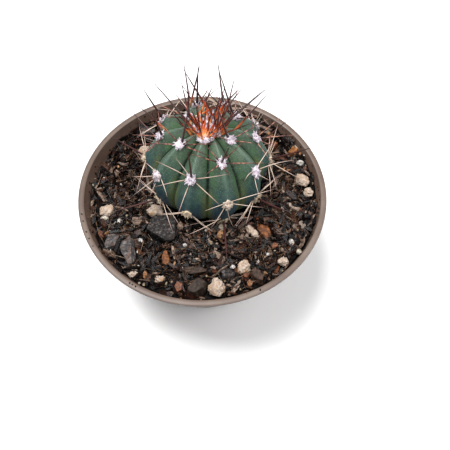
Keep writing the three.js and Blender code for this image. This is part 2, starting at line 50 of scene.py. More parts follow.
# Pot
POT_HEIGHT = 50
RIM_RADIUS = 45
LIP_WIDTH = 2.2
LIP_EDGE = 1.2
WALL = 0.9
WALL_TOP_LEAN = 1.2
LEDGE_DROP = 6
LEDGE_WIDTH = 0.9
LEDGE_RISE = 0.6
FOOT_RADIUS = 25.7
FOOT_CORNER = 1
STANDING_RING_WIDTH = 6
FLOOR_RAISE = 2
FLOOR_THICKNESS = 1.2
DRAIN_HOLES = 6
DRAIN_RADIUS = 3
DRAIN_CIRCLE = 13

LIP_INNER = RIM_RADIUS - LIP_WIDTH
LEDGE_OUTER = LIP_INNER - WALL_TOP_LEAN
LEDGE_INNER = LEDGE_OUTER - LEDGE_WIDTH
LEDGE_TOP = POT_HEIGHT - LEDGE_DROP + LEDGE_RISE
LEDGE_LOW = LEDGE_TOP - LEDGE_RISE
FLOOR_TOP = FLOOR_RAISE + FLOOR_THICKNESS

# Soil
SOIL_LEVEL = POT_HEIGHT - 8.5
SOIL_LEAN = 0.043
BANK_START = 20
BANK_END = 42
BANK_RISE = 4.8
BANK_LEAN = 0.015
CRUMB = 5.5
CRUMB_HEIGHT = 1.3
FINE_CRUMB = 3.1
FINE_CRUMB_HEIGHT = 0.7
SWELL = 0.5
GAP = 0.3
BED_SINK = 0.35
BED_NOISE = [(0.45, 1.1, 0), (0.25, 2.7, 9)]
ROOT_HOLE = 11

# Plant
PLANT_PLACE = np.array([1.4, 10.0, SOIL_LEVEL + 12.5])
LEAN_RIGHT = tan(radians(1.9))
LEAN_BACK = tan(radians(4.7))
BODY_RADIUS = 22.6
BODY_HALF_HEIGHT = 18.5
BODY_LOWER_HEIGHT = 21.5
RIBS = 10
RIB_PITCH = 2 * pi / RIBS
FIRST_GROOVE = radians(1.7)
GROOVE_DEPTH = 4.8
GROOVE_ONSET = 8
GROOVE_SHARPNESS = 5
FLANK_SHARE = 0.85
FLANK_ROUND = 1.2
GROOVE_FADE_START = radians(64)
GROOVE_FADE_END = radians(125)
GROOVE_FADE = 0.68
CREASE_DEPTH = 0.5
CREASE_WIDTH = 0.07
CREASE_ONSET = (radians(14), radians(24))
CROWN_DIMPLE = 2.4
CROWN_DIMPLE_RADIUS = 6
SKIN_SWELL = 0.25
SKIN_SWELL_SIZE = 6.0
CUSHION_RISE = 0.55
CUSHION_WIDTH = 2.6
CUSHION_HOLLOW = 0.35
CUSHION_HOLLOW_WIDTH = 1.3
BODY_SHARE = 0.9
BODY_LAST_ANGLE = radians(158)
ROOT_LENGTH = 15
ROOT_SLIM = 0.7

# Areoles and spines
AREOLE_START = 54.8
AREOLE_RIB_STEP = 16
AREOLE_SPACING = 40
AREOLE_TOP = 5
AREOLE_BOTTOM = 119
FRONT_RIB_DROP = 8
FRONT_DROP_ANGLE = 88
FRONT_DROP_SPAN = 12
WOOL_SIZE = np.array([1.6, 1.9, 1.2])
RADIAL_ANGLES = [0, 50, -50, 97, -97, 140, -140]
RADIAL_LENGTHS = [13, 14, 14, 14, 14, 10.5, 10.5]
RADIAL_TURN_PLAY = 20
RADIAL_RAISE = 14
RADIAL_RAISE_PLAY = 12
RADIAL_THICKNESS = 0.6
CENTRAL_TURN = 180
CENTRAL_TURN_PLAY = 50
CENTRAL_RAISE = 57
CENTRAL_RAISE_PLAY = 16
CENTRAL_LENGTH = 17
CENTRAL_THICKNESS = 0.85
CENTRAL_RAISED_OVER = 48
LENGTH_PLAY = 0.3
SPINE_ROOT = 1.6
SPINE_SAG = 1.6
YOUNG_ANGLE = radians(40)
YOUNG_RAISE = 18
CROWN_SPINE_ROOT = 2
CROWN_SPINE_SPACING = 1.25
CROWN_SPINE_DEPTH = 3.2
CROWN_SPINE_LEAN = 0.14
SPINE_CLEARANCE = 0.9
SUNFLOWER_TURN = pi * (3 - sqrt(5))
SEED = 20611

# The crown's three rounds of stout spines: how many, how long, and where the round starts
CROWN_ROUNDS = [(12, 12, 0.5), (9, 8.5, 1.1), (10, 5, 1.4)]

# The front and crown areoles, by rib and by place up the rib, have spines of their own:
# degrees round from straight down, degrees raised off the skin, length, and bend off the skin
OWN_SPINES = {
    (0, -1): [[-93, 49, 26, -2.4], [124, 44, 28.5, -0.2], [-166, 58, 11, -0.8], [173, 58, 11.5, -0.7],
      [-151, 58, 12, -0.6], [138, 60, 11, -0.5], [-6, 66, 12, 0.8]],
    (0, 0): [[-105, 16, 13, -0.3], [-134, 18, 8.5, 0], [-64, 15, 12, -0.6], [-5, 16, 13, -0.5],
      [66, 18, 13, -1.4], [115, 18, 14, -0.3], [180, 53, 19.5, -0.4]],
    (0, 1): [[-57, 11, 13, -1.2], [-41, 14, 14, -2.5], [18, 9, 12.5, -1.1], [29, 10, 12.5, -1.3],
      [-10, 9, 7, -0.9]],
    (1, 0): [[-112, 37, 14, -0.9], [-141, 42, 10, -0.6], [73, 35, 14.5, -0.4], [10, 42, 6, 0],
      [123, 37, 10, -0.3], [-68, 44, 11.5, 0.4], [177, 79, 15.5, -0.3]],
    (1, 1): [[-115, 30, 11.5, -0.8], [-35, 13, 11, -1.3], [11, 11, 12, -0.7], [71, 14, 13.5, -1.2],
      [107, 16, 17, -1.3]],
    (2, 0): [[-162, 63, 16, -0.4], [63, 32, 16, -1.4], [16, 37, 10, -2], [-110, 46, 13.5, 1.2]],
    (2, 1): [[68, 18, 16.5, 0], [-116, 27, 14, 1], [33, 9, 9.5, -1.5], [-25, 14, 9, -0.6],
      [112, 16, 12, -0.6]],
    (3, 0): [[34, 55, 17, -4], [-65, 64, 16, 0.6], [-40, 65, 16, 0.9], [-80, 65, 16, 0.7]],
    (3, 1): [[26, 22, 18, -0.6], [14, 8, 11, -1.6], [55, 19, 17, 0.3], [-152, 14, 15, 2.5],
      [-60, 16, 11, -0.5], [115, 18, 13, -0.5]],
    (4, 1): [[156, 51, 19, 0.4], [143, 27, 18.5, -0.6], [164, 37, 15, -0.5], [171, 39, 15.5, 3],
      [-110, 38, 15.5, -0.4], [60, 34, 13, -0.8]],
    (4, 2): [[-169, 24, 18, 2.3], [62, 16, 15.5, 0], [55, 21, 16, 0.5], [-156, 19, 16.5, -0.3],
      [20, 14, 12, -0.8], [100, 14, 13, -0.5]],
    (5, 1): [[77, 53, 19, 1.4], [-47, 55, 17, -3.8], [-144, 70, 17, 1], [-160, 58, 16, 0.7],
      [168, 68, 16, 0.7]],
    (6, 2): [[-178, 59, 20.5, -1.4], [-166, 38, 16.5, -1.4], [165, 22, 13.5, -2], [144, 47, 15, -0.3],
      [-90, 34, 12, -0.8]],
    (7, 2): [[145, 60, 19.5, 2], [86, 41, 15, -1.6], [-60, 34, 12, -0.5], [20, 30, 11, -0.8]],
    (8, 2): [[46, 60, 15, 0.2], [48, 66, 16, 0.7], [38, 54, 15, -0.2]],
    (8, 3): [[150, 53, 18.5, 0], [-86, 13, 14, -0.5], [-27, 14, 14.5, -1], [97, 27, 15, 1.1],
      [40, 16, 11, -0.8]],
    (9, 3): [[175, 58, 19, -1], [122, 28, 17, -1.2], [124, 46, 14, 1], [106, 27, 17.5, -2],
      [-44, 22, 16.5, -4.5], [-85, 34, 11, -0.3]],
    (9, 4): [[-80, 8, 9, -1.6], [-50, 12, 13.5, -0.6], [-21, 15, 15, 0], [-1, 10, 10, -1.3],
      [70, 12, 8, -0.8]],
}

# How far from the crown a spine counts as old, how far the amber tuft reaches, where wool
# turns cream, and the length in which an amber spine runs through its colours
OLD_SPINES = (radians(44), radians(62))
TUFT_ANGLE = radians(18)
OLD_WOOL = (radians(62), radians(92))
AMBER_RUN = 15

# How slender the rays are when young and when old, and how far the old ones bow sideways
FINE_SPINE_SHARE = (0.8, 0.52)
OLD_SPINE_BOW = 1.7

# Wool: locks of hair round and on each cushion, how big the young ones' cushions are, and the
# crown's own cushions
OUTER_LOCKS = 11
INNER_LOCKS = 5
LOCK_HAIRS = 7
LOCK_SPREAD = 0.8
HAIR_CURL = 0.8
HAIR_RADIUS = 0.12
CROWN_CUSHIONS = 26
CROWN_CUSHION_SPACING = 1.15
CROWN_CUSHION_SIZE = np.array([0.9, 0.9, 0.8])
CROWN_LOCK_HAIRS = 8
CROWN_LOCK_SPREAD = 0.9
YOUNG_WOOL = np.array([1.5, 1.0, 1.0])

# Fine young spines between the stout ones of the crown: root, tip and how far the tip droops
CROWN_FAN = [
    ((3, 10, 68), (22.5, 22, 81), 1.6), ((9, 12, 66), (22.3, 20, 80.5), -1.2),
    ((4.4, 15.5, 70), (13.2, 21.5, 80), 1.0), ((-1.3, 18, 70), (3.1, 22, 80), 0.8),
    ((-2, 10.5, 68), (-17, 22.5, 80.5), 2.2), ((-4, 13.5, 69), (-7.8, 23.5, 80.5), 1.4),
    ((-2.6, 17, 70), (7.3, 16, 78), 1.0), ((-12, 13.5, 64.5), (-22, 16, 76), 1.4),
    ((-3, 9, 68), (-11, 12, 79), 0.8), ((4, 9, 68), (12, 12, 79), 0.8),
    ((-5.2, 23.4, 67.8), (-0.9, 22.6, 89.5), 0.6),
]
CROWN_FAN_THICKNESS = 0.78

# Loose pieces: centre x and y, length, width, height and turn in degrees. Then the share of its
# height by which a piece's centre stands over the soil, and how much a split piece grows
PUMICE = [
    (15.4, -28.7, 5.0, 5.0, 4.2, 20),
    (6.2, -37.0, 5.4, 6.4, 5.0, 5),
    (-35.0, -7.1, 5.4, 5.0, 4.2, 35),
    (-17.8, -4.6, 6.2, 5.4, 4.6, -20),
    (-24.0, 20.6, 4.6, 6.0, 4.2, 10),
    (36.9, 6.9, 6.0, 4.4, 4.0, -30),
    (38.8, 1.5, 3.6, 3.6, 3.2, 0),
    (18.5, -13.4, 7.0, 3.0, 3.0, -43),
    (28.7, -27.0, 3.6, 3.8, 3.2, 15),
    (-22.8, -32.2, 3.4, 2.8, 2.8, -25),
    (-13.5, -34.0, 3.3, 3.3, 3.0, 40),
]
BARK = [
    (22.6, -13.4, 7.2, 3.2, 3.0, -60),
    (-0.4, -37.2, 6.4, 5.8, 4.4, 4),
    (-1.8, -30.0, 9.0, 2.6, 2.8, 8),
    (-11.8, -25.8, 6.4, 3.0, 2.6, 97),
    (33.4, 19.8, 4.2, 3.6, 3.2, 30),
    (19.6, -33.0, 5.4, 3.4, 3.2, -55),
    (26.0, 23.8, 4.6, 3.8, 3.4, 70),
]
STONE = [
    (-31.2, -20.5, 5.6, 4.4, 3.4, 43),
    (-25.2, -23.6, 11.0, 5.0, 3.4, -71),
    (-15.0, -13.0, 10.4, 9.4, 4.8, -10),
    (9.6, -31.6, 4.6, 4.8, 3.6, 25),
    (-23.2, 28.6, 6.4, 4.4, 3.4, 0),
]
LOOSE = PUMICE + BARK + STONE
SUNK_SHARE = 0.12
SPLIT_GROWTH = 1.12

# Scraps strewn at random over the soil: how many, their spans of length, width, height and
# tone (with the power that weighs it), how far they tilt, and how high over the soil they lie
FLAKES = (750, (2.0, 6.5), (1.0, 3.0), (0.5, 1.3), (0, 0.84, 1.5), 0.5, (-0.5, 0.6))
SLIVERS = (1900, (2.6, 8.5), (0.35, 1.25), (0.4, 1.0), (0, 0.82, 1.2), 0.45, (-0.2, 1.2))
PALE_SLIVERS = (70, (1.6, 4.0), (0.7, 1.5), (0.4, 1.0), (0.82, 0.97, 1.6), 0.4, (0.2, 1.0))
PEAT_CRUMBS = (1900, (0.5, 1.6), (0.4, 1.1), (0.4, 1.0), (0, 1.0, 2.4), 0.5, (-0.5, 0.6))
GRIT_GRAINS = (210, (0.4, 1.5), (0.4, 1.1), (0.4, 1.0), (0.1, 1.0, 0.8), 0.5, (0.3, 1.0))
ROOTLETS = 1300
ROOTLET_REACH = 40

# The camera's place, turn in degrees and lens, and each light's place, power and width
CAMERA_PLACE = (0.008357, -0.109716, 0.217704)
CAMERA_TURN = (29.5416, -0.7397, 1.3050)
CAMERA_LENS = 43.984
LIGHTS = {
    "soft_key": ((-0.2, 0.04, 0.82), 9.6, 0.34), "wide_fill": ((0.6, -0.1, 0.7), 4.8, 0.7),
}
SKY_COLOUR = (0.97, 0.985, 1.0, 1)
SKY_STRENGTH = 0.44


# Repeatable draws and smooth steps


def make_random(seed):
    """A repeatable draw from 0 to 1, the same one that the solids were made with."""
    state = seed

    def draw():
        nonlocal state
        state = state * 48271 % 2147483647
        return state / 2147483647

    return draw


def play(draw, span):
    return span * (draw() - 0.5)


def play_by(draw, *spans):
    return np.array([play(draw, span) for span in spans])


def drawn_vector(draw, size):
    return Vector((draw(), draw(), draw())) * size


def draw_between(draw, low, high, power=1):
    return low + (high - low) * draw() ** power


def polar(reach, way):
    return reach * cos(way), reach * sin(way)


def unit(way):
    return way / np.linalg.norm(way)


def bell(x):
    return np.exp(-(x**2))


def smoothstep(x, low, high):
    t = np.clip((x - low) / (high - low), 0, 1)
    return t * t * (3 - 2 * t)


# The soil's surface


def wall_inside(z):
    """Inside radius of the pot wall at a height."""
    if z >= LEDGE_TOP:
        share = min((z - LEDGE_TOP) / (POT_HEIGHT - LEDGE_TOP), 1)
        return LEDGE_OUTER + (LIP_INNER - LEDGE_OUTER) * share
    if z >= LEDGE_LOW:
        return LEDGE_INNER + (LEDGE_OUTER - LEDGE_INNER) * (z - LEDGE_LOW) / LEDGE_RISE
    share = (z - FLOOR_TOP) / (LEDGE_LOW - FLOOR_TOP)
    return FOOT_RADIUS + (LEDGE_INNER - FOOT_RADIUS) * share


def hashed(i, j):
    wave = sin(i * 127.1 + j * 311.7) * 43758.5453
    return wave - floor(wave)


def crumbs(x, y, size):
    """Height from 0 to 1 of rounded crumbs of one size scattered over the plane."""
    column = floor(x / size)
    row = floor(y / size)
    height = 0
    for i in range(column - 1, column + 2):
        for j in range(row - 1, row + 2):
            dx = x / size - i - hashed(i, j)
            dy = y / size - j - hashed(j + 37, i + 17)
            rise = (0.5 + 0.5 * hashed(i + 71, j + 5)) * (1 - 1.6 * (dx * dx + dy * dy))
            height = max(height, rise)
    return height


def soil_level(x, y):
    """The soil's level without its crumbs: a hollow, banked up against the pot wall."""
    share = float(smoothstep(hypot(x, y), BANK_START, BANK_END))
    return SOIL_LEVEL + SOIL_LEAN * x + share * (BANK_RISE - BANK_LEAN * x)


def soil_top(x, y):
    swell = SWELL * sin(x / 9 + 1) * cos(y / 11)
    coarse = CRUMB_HEIGHT * (crumbs(x, y, CRUMB) - 0.5)
    fine = FINE_CRUMB_HEIGHT * (crumbs(x + 50, y + 50, FINE_CRUMB) - 0.5)
    return soil_level(x, y) + swell + coarse + fine


# The plant's own axes, skin, areoles and spines

AXIS = unit(np.array([LEAN_RIGHT, LEAN_BACK, 1.0]))
BACK = unit(np.array([0.0, 1.0, 0.0]) - AXIS * AXIS[1])
TURN = np.stack([np.cross(BACK, AXIS), BACK, AXIS], axis=1)


def to_pot(points):
    """From the plant's own axes to the pot's."""
    return points @ TURN.T + PLANT_PLACE


def groove_depth(angle, reach):
    fade = GROOVE_FADE * smoothstep(angle, GROOVE_FADE_START, GROOVE_FADE_END)
    return GROOVE_DEPTH * (1 - np.exp(-reach / GROOVE_ONSET)) * (1 - fade)


def groove_shape(off):
    """Share of the groove's depth between crest, 0, and groove, 1: slanting flanks and a
    narrow sharp groove."""
    return FLANK_SHARE * off**FLANK_ROUND + (1 - FLANK_SHARE) * off**GROOVE_SHARPNESS


def off_crest(turn):
    """0 on a rib's crest and 1 in the groove."""
    place = (turn - FIRST_GROOVE) / RIB_PITCH
    return np.abs(2 * (place - np.floor(place)) - 1)


def skin(angle, turn, grow=0.0):
    """Points of the skin: angle from the crown, turn round the axis, and how far grown out."""
    tall = np.where(angle < pi / 2, BODY_HALF_HEIGHT, BODY_LOWER_HEIGHT)
    reach = BODY_RADIUS * np.sin(angle)
    height = tall * np.cos(angle)
    out_x = np.sin(angle) / BODY_RADIUS
    out_z = np.cos(angle) / tall
    size = np.hypot(out_x, out_z)
    move = grow - groove_depth(angle, reach) * groove_shape(off_crest(turn))
    dimple = CROWN_DIMPLE * bell(reach / CROWN_DIMPLE_RADIUS) * (height > 0)
    radius = reach + move * out_x / size
    z = height + move * out_z / size - dimple
    return np.stack([radius * np.sin(turn), -radius * np.cos(turn), z], axis=-1)


def list_areoles():
    """Turn, angle and own spines of each woolly cushion: a spiral up the rib crests."""
    areoles = []
    for rib in range(RIBS):
        turn = FIRST_GROOVE + (rib - 0.5) * RIB_PITCH
        for level in range(-4, 9):
            spiral = AREOLE_START - AREOLE_RIB_STEP * rib + AREOLE_SPACING * level
            front = FRONT_RIB_DROP if rib < 2 else 0
            drop = front * bell((spiral - FRONT_DROP_ANGLE) / FRONT_DROP_SPAN)
            if AREOLE_TOP < spiral < AREOLE_BOTTOM:
                own = OWN_SPINES.get((rib, level))
                areoles.append((turn, radians(spiral + drop), own))
    return areoles


def areole_frame(turn, angle):
    """Place of an areole and its directions: up the rib, sideways and out of the skin."""
    step = 0.02
    up = unit(skin(angle - step, turn) - skin(angle + step, turn))
    side = np.array([cos(turn), sin(turn), 0.0])
    out = unit(np.cross(side, up))
    return to_pot(skin(angle, turn)), TURN @ up, TURN @ side, TURN @ out


Spine = namedtuple("Spine", "root direction bend_way bend length thickness central age crown")


def spine_point(spine, share):
    line = spine.root + spine.direction * spine.length * share
    return line + spine.bend_way * spine.bend * share**2


def is_clear(spine):
    """True where a spine stays above the soil and its loose pieces and inside the rim."""
    for x, y, z in spine_point(spine, np.arange(0.25, 1.01, 0.125)[:, None]):
        if z > POT_HEIGHT + SPINE_CLEARANCE:
            inside = RIM_RADIUS - GAP
        else:
            inside = wall_inside(z) - SPINE_CLEARANCE
        if hypot(x, y) > inside or z < soil_top(x, y) + SPINE_CLEARANCE:
            return False
        for cx, cy, length, width, height, _ in LOOSE:
            top = soil_level(cx, cy) + (SUNK_SHARE + 0.5) * height
            near = max(length, width) / 2 + SPINE_CLEARANCE
            if hypot(x - cx, y - cy) < near and z < top + SPINE_CLEARANCE:
                return False
    return True


def bent_clear(make):
    """Turns a spine up until it is clear, and then shortens it if it has to."""
    for shorten in (1, 0.85, 0.7, 0.55):
        for lift in range(0, 71, 5):
            spine = make(radians(lift), shorten)
            if is_clear(spine):
                return spine
    return None


def star_of_rays(young, draw):
    """A plain areole's rays: seven radials like a star and one central, each with some play."""
    raise_by = RADIAL_RAISE + (YOUNG_RAISE if young else 0)
    rows = [(degrees, RADIAL_TURN_PLAY, raise_by, RADIAL_RAISE_PLAY, length)
            for degrees, length in zip(RADIAL_ANGLES, RADIAL_LENGTHS)]
    rows.append((CENTRAL_TURN, CENTRAL_TURN_PLAY, CENTRAL_RAISE, CENTRAL_RAISE_PLAY,
                 CENTRAL_LENGTH))
    return [(around + play(draw, turn_play), raised + play(draw, raise_play),
             length * (1 + play(draw, LENGTH_PLAY)), -SPINE_SAG * draw())
            for around, turn_play, raised, raise_play, length in rows]


def areole_spines(areole, draw):
    """All spines of one areole, each turned clear of the soil."""
    turn, angle, own = areole
    at, up, side, out = areole_frame(turn, angle)
    root = at - out * SPINE_ROOT / 2
    for degrees, raised, length, bend in own or star_of_rays(angle < YOUNG_ANGLE, draw):
        around, rise = radians(degrees), radians(raised)
        flat = -cos(around) * up + sin(around) * side
        central = raised > CENTRAL_RAISED_OVER

        def make(lift, shorten):
            way = flat * cos(rise) + out * sin(rise)
            way = way * cos(lift) + np.array([0, 0, sin(lift)])
            return Spine(root, unit(way), out, bend * shorten,
                         length * shorten + SPINE_ROOT / 2,
                         CENTRAL_THICKNESS if central else RADIAL_THICKNESS, float(central),
                         float(smoothstep(angle, *OLD_SPINES)), float(angle < TUFT_ANGLE))

        spine = bent_clear(make)
        if spine:
            yield spine


def crown_spines(draw, count, length, start):
    """Young spines stand in a tuft at the crown, set out like seeds in a sunflower."""
    for i in range(count):
        reach = CROWN_SPINE_SPACING * sqrt(i + start)
        turn = i * SUNFLOWER_TURN + (start - 0.5)
        lean = CROWN_SPINE_LEAN * (1 + reach + draw())
        way = np.array([sin(turn), -cos(turn), 0.0])
        root = way * reach + np.array([0, 0, BODY_HALF_HEIGHT - CROWN_SPINE_DEPTH])
        direction = way * sin(lean) + np.array([0, 0, cos(lean)])
        bend = -SPINE_SAG * draw()
        grown = length * (1 + play(draw, LENGTH_PLAY)) + CROWN_SPINE_ROOT
        yield Spine(to_pot(root), TURN @ direction, TURN @ way, bend, grown,
                    CENTRAL_THICKNESS, 0.0, 0.0, 1.0)


def crown_fan():
    """The fine young spines that lean out between the stout ones."""
    for root, tip, droop in CROWN_FAN:
        root, tip = np.array(root, float), np.array(tip, float)
        line = tip - root + np.array([0, 0, droop])
        length = float(np.linalg.norm(line))
        yield Spine(root, line / length, np.array([0.0, 0.0, 1.0]), -droop, length,
                    CROWN_FAN_THICKNESS, 1.0, 0.0, 1.0)


# Materials


def colour(code):
    """Linear red, green, blue and alpha of an sRGB hex colour."""
    parts = [int(code[i : i + 2], 16) / 255 for i in (1, 3, 5)]
    return [p / 12.92 if p <= 0.04045 else ((p + 0.055) / 1.055) ** 2.4 for p in parts] + [1.0]


def add(tree, kind, sockets=(), stops=(), **settings):
    """Adds a node with its settings and ramp. Its sockets are given by name, or all in order;
    a node given to a socket is linked by its first result, and a hex code is a colour."""
    made = tree.nodes.new("ShaderNode" + kind)
    for name, value in settings.items():
        setattr(made, name, value)
    if not isinstance(sockets, dict):
        sockets = dict(zip([s.identifier for s in made.inputs if s.enabled], sockets))
    for name, value in sockets.items():
        if isinstance(value, bpy.types.Node):
            value = next(s for s in value.outputs if s.enabled)
        socket = next(s for s in made.inputs if name in (s.identifier, s.name))
        if isinstance(value, bpy.types.NodeSocket):
            tree.links.new(value, socket)
        else:
            socket.default_value = colour(value) if isinstance(value, str) else value
    ramp = made.color_ramp.elements if stops else []
    while len(ramp) < len(stops):
        ramp.new(1)
    for element, (place, code) in zip(ramp, stops):
        element.position = place
        element.color = colour(code)
    return made


def new_material(name, **sockets):
    """A material with one Principled shader, its constant sockets set, and Object coordinates."""
    material = bpy.data.materials.new(name)
    material.use_nodes = True
    tree = material.node_tree
    tree.nodes.clear()
    shader = add(tree, "BsdfPrincipled")
    for socket, value in sockets.items():
        shader.inputs[socket.replace("_", " ")].default_value = value
    add(tree, "OutputMaterial", [shader])
    return material, tree, shader, add(tree, "TexCoord").outputs["Object"]


def finish(tree, shader, base, relief, strength, depth):
    """Gives the shader its colour, and a relief of so many millimetres."""
    bump = add(tree, "Bump", {"Height": relief, "Strength": strength, "Distance": depth * MM})
    tree.links.new(next(s for s in base.outputs if s.enabled), shader.inputs["Base Color"])
    tree.links.new(bump.outputs[0], shader.inputs["Normal"])


def per_mm(size):
    """Texture scale that gives features of this size in millimetres."""
    return 1 / (size * MM)


PAINT = {"data_type": "RGBA"}
SHADE = {"data_type": "RGBA", "blend_type": "MULTIPLY"}
TIMES = {"operation": "MULTIPLY"}


def lay_over(tree, base, rows):
    """Lays tints over a base one by one, each by the product of its amounts: a value as it is,
    or a list of a value, the two ends it is read between and what they give."""
    for tint, *amounts in rows:
        shares = [add(tree, "MapRange", a) if isinstance(a, list) else a for a in amounts]
        while len(shares) > 1:
            shares[:2] = [add(tree, "Math", shares[:2], **TIMES)]
        base = add(tree, "Mix", [shares[0], base, tint], **PAINT)
    return base


def pot_material():
    """Injection-moulded polypropylene in taupe: a dull, faintly grained skin, dusty inside and
    painted darker with shade down the inner wall.
    """
    material, tree, shader, place = new_material(
        "moulded_taupe_polypropylene", Roughness=0.5, IOR=1.49)
    cloud = add(tree, "TexNoise", [place, per_mm(9), 5.0])
    plastic = add(tree, "ValToRGB", [cloud],
                  [(0.3, "#54443B"), (0.55, "#5F4F45"), (0.75, "#6A5C52")])
    across, along, up = add(tree, "SeparateXYZ", [place]).outputs
    planar = add(tree, "CombineXYZ", [across, along])
    reach = add(tree, "VectorMath", [planar], operation="LENGTH")
    # Patchy peat dust mixed with painted shade, for the inner wall
    dust_and_shade_noise = add(tree, "TexNoise", [place, per_mm(3.5), 6.0, 0.7])
    dust_and_shade = add(tree, "ValToRGB", [dust_and_shade_noise], [(0.3, "#3E2D24"), (0.6, "#5D463A"), (0.8, "#775E50")])
    speck = add(tree, "TexVoronoi", [place, per_mm(2.2)])
    final = lay_over(tree, plastic, [
        # The outer edge of the lip is painted a little darker
        ("#53443C", [reach, (RIM_RADIUS - 0.8) * MM, (RIM_RADIUS - 0.2) * MM, 0, 0.35]),
        # Peat dust and painted shade darken the inner wall, more deeply lower down, and thin out
        # towards the lip
        (dust_and_shade, [reach, (LIP_INNER + 0.2) * MM, (LIP_INNER - 0.2) * MM],
         [up, POT_HEIGHT * MM, (POT_HEIGHT - 6) * MM, 0.45, 1.0], [dust_and_shade_noise, 0.35, 0.65, 0.45, 1.0]),
        ("#3A2C25", [speck, 0.1, 0.06], [cloud, 0.55, 0.62]),
    ])
    grain = add(tree, "TexNoise", [place, per_mm(0.5), 3.0])
    finish(tree, shader, final, grain, 0.25, 0.1)
    return material


def skin_material():
    """Waxy cactus skin: green above, paler there partly as painted light from above, and blue-grey
    below under a thin bloom, with a dark line of painted shade down each groove that runs out
    into an olive stripe, and a painted highlight along the crests."""
    material, tree, shader, place = new_material(
        "waxy_cactus_skin", Roughness=0.55, IOR=1.4, Subsurface_Weight=0.05,
        Subsurface_Scale=1.0 * MM, Subsurface_Radius=(0.5, 1.0, 0.7))
    down, groove, east, north = [add(tree, "Attribute", attribute_name=key).outputs["Fac"]
                                 for key in ("down", "groove", "east", "north")]
    cloud = add(tree, "TexNoise", [place, per_mm(7), 4.0])
    wander = add(tree, "Math", [cloud, 0.3, -0.15], operation="MULTIPLY_ADD")
    level = add(tree, "Math", [down, wander])
    # Green near the crown and blue-grey lower down; the paler tones near the crown are partly painted
    # light from above
    flesh = add(tree, "ValToRGB", [level],
                [(0.05, "#5C6B58"), (0.24, "#475A47"), (0.4, "#374F41"), (0.52, "#314E4D"),
                 (0.68, "#2E4A5E"), (1.0, "#38484A")])
    # Faint stripes run down the flanks, converging on the crown
    round_ribs = add(tree, "CombineXYZ", [east, north, add(tree, "Math", [down, 3.0], **TIMES)])
    streak = add(tree, "TexNoise", [round_ribs, 11.0, 5.0, 0.6])
    shade = add(tree, "ValToRGB", [streak], [(0.3, "#B4B4B4"), (0.5, "#E6E6E6"), (0.68, "#FFFFFF")])
    striped = add(tree, "Mix", [0.8, flesh, shade], **SHADE)
    patch = add(tree, "TexNoise", [place, per_mm(4), 3.0])
    pores = add(tree, "TexVoronoi", [place, per_mm(0.5)])
    final = lay_over(tree, striped, [
        # Greener flanks beside each groove where the bloom has rubbed thin, olive lower down
        ("#40603C", [groove, 0.3, 0.8, 0, 0.9], [patch, 0.4, 0.62], [down, 0.62, 0.45]),
        ("#566034", [groove, 0.55, 0.92, 0, 0.92], [level, 0.36, 0.5]),
        # Painted shade: the groove itself is a dark line above, which fades where the ribs flatten
        # out
        ("#0A1A10", [groove, 0.88, 0.95], [level, 0.66, 0.44, 0.25]),
        # The crests are painted paler as a highlight, and breathing pores show as dots half a
        # millimetre apart
        ("#7C9A8C", [groove, 0.2, 0.0, 0, 0.14]),
        ("#86A39C", [pores, 0.36, 0.16, 0, 0.3]),
    ])
    gloss = add(tree, "MapRange", [patch, 0.3, 0.7, 0.46, 0.66])
    tree.links.new(gloss.outputs[0], shader.inputs["Roughness"])
    relief = add(tree, "Math", [streak, pores], operation="SUBTRACT")
    finish(tree, shader, final, relief, 0.35, 0.12)
    return material


def wool_material():
    """Areole wool: matted white hairs with a lilac cast, creamier on old areoles."""
    material, tree, shader, place = new_material(
        "areole_wool", Roughness=0.95, IOR=1.4, Sheen_Weight=0.3)
    mat = add(tree, "TexNoise", [place, per_mm(0.9), 5.0, 0.7])
    fresh = add(tree, "ValToRGB", [mat], [(0.3, "#AC9EAA"), (0.5, "#D0C4CE"), (0.7, "#ECE4EA")])
    aged = add(tree, "ValToRGB", [mat], [(0.3, "#A08C74"), (0.5, "#C4B094"), (0.7, "#E0D0B6")])
    age = add(tree, "Attribute", attribute_name="age").outputs["Fac"]
    mixed = add(tree, "Mix", [age, fresh, aged], **PAINT)
    finish(tree, shader, mixed, mat, 0.6, 0.25)
    return material


def spine_material():
    """Horn-like spines: pale tan when old, red-brown to near black when young, and cream to
    amber low down in the crown's tuft."""
    material, tree, shader, place = new_material("horny_spines", Roughness=0.42, IOR=1.5)
    along, reach, age, central, crown = [
        add(tree, "Attribute", attribute_name=key).outputs["Fac"]
        for key in ("along", "reach", "age", "central", "crown")]
    # Growth rings band a spine every millimetre or so
    bands = add(tree, "TexNoise", [place, per_mm(1.6), 2.0])
    shift = add(tree, "Math", [bands, 0.5, -0.25], operation="MULTIPLY_ADD")
    place_along = add(tree, "Math", [along, shift])
    grown = add(tree, "Math", [reach, shift])
    old = add(tree, "ValToRGB", [place_along],
              [(0.0, "#A08068"), (0.2, "#CBB09A"), (0.5, "#DCC8B8"), (0.8, "#C0A296"),
               (1.0, "#8C6E66")])
    young = add(tree, "ValToRGB", [bands],
                [(0.38, "#341412"), (0.5, "#64302A"), (0.62, "#AA725E")])
    dark = add(tree, "ValToRGB", [place_along],
               [(0.0, "#1E0E0E"), (0.2, "#381816"), (0.6, "#46201C"), (0.85, "#2C1616"),
                (1.0, "#4E3834")])
    amber = add(tree, "ValToRGB", [grown],
                [(0.0, "#F6E4CA"), (0.17, "#E8985A"), (0.33, "#C65628"), (0.47, "#762A1A"),
                 (0.6, "#381614"), (1.0, "#3E2A28")])
    # A spine is darkest where it leaves the wool, least so on the old areoles
    stain = [along, 0.26, 0.14], [age, 0, 1, 0.95, 0.45]
    final = lay_over(tree, young, [
        (old, age), (dark, central), ("#241616", *stain), (amber, crown)])
    finish(tree, shader, final, bands, 0.3, 0.08)
    return material


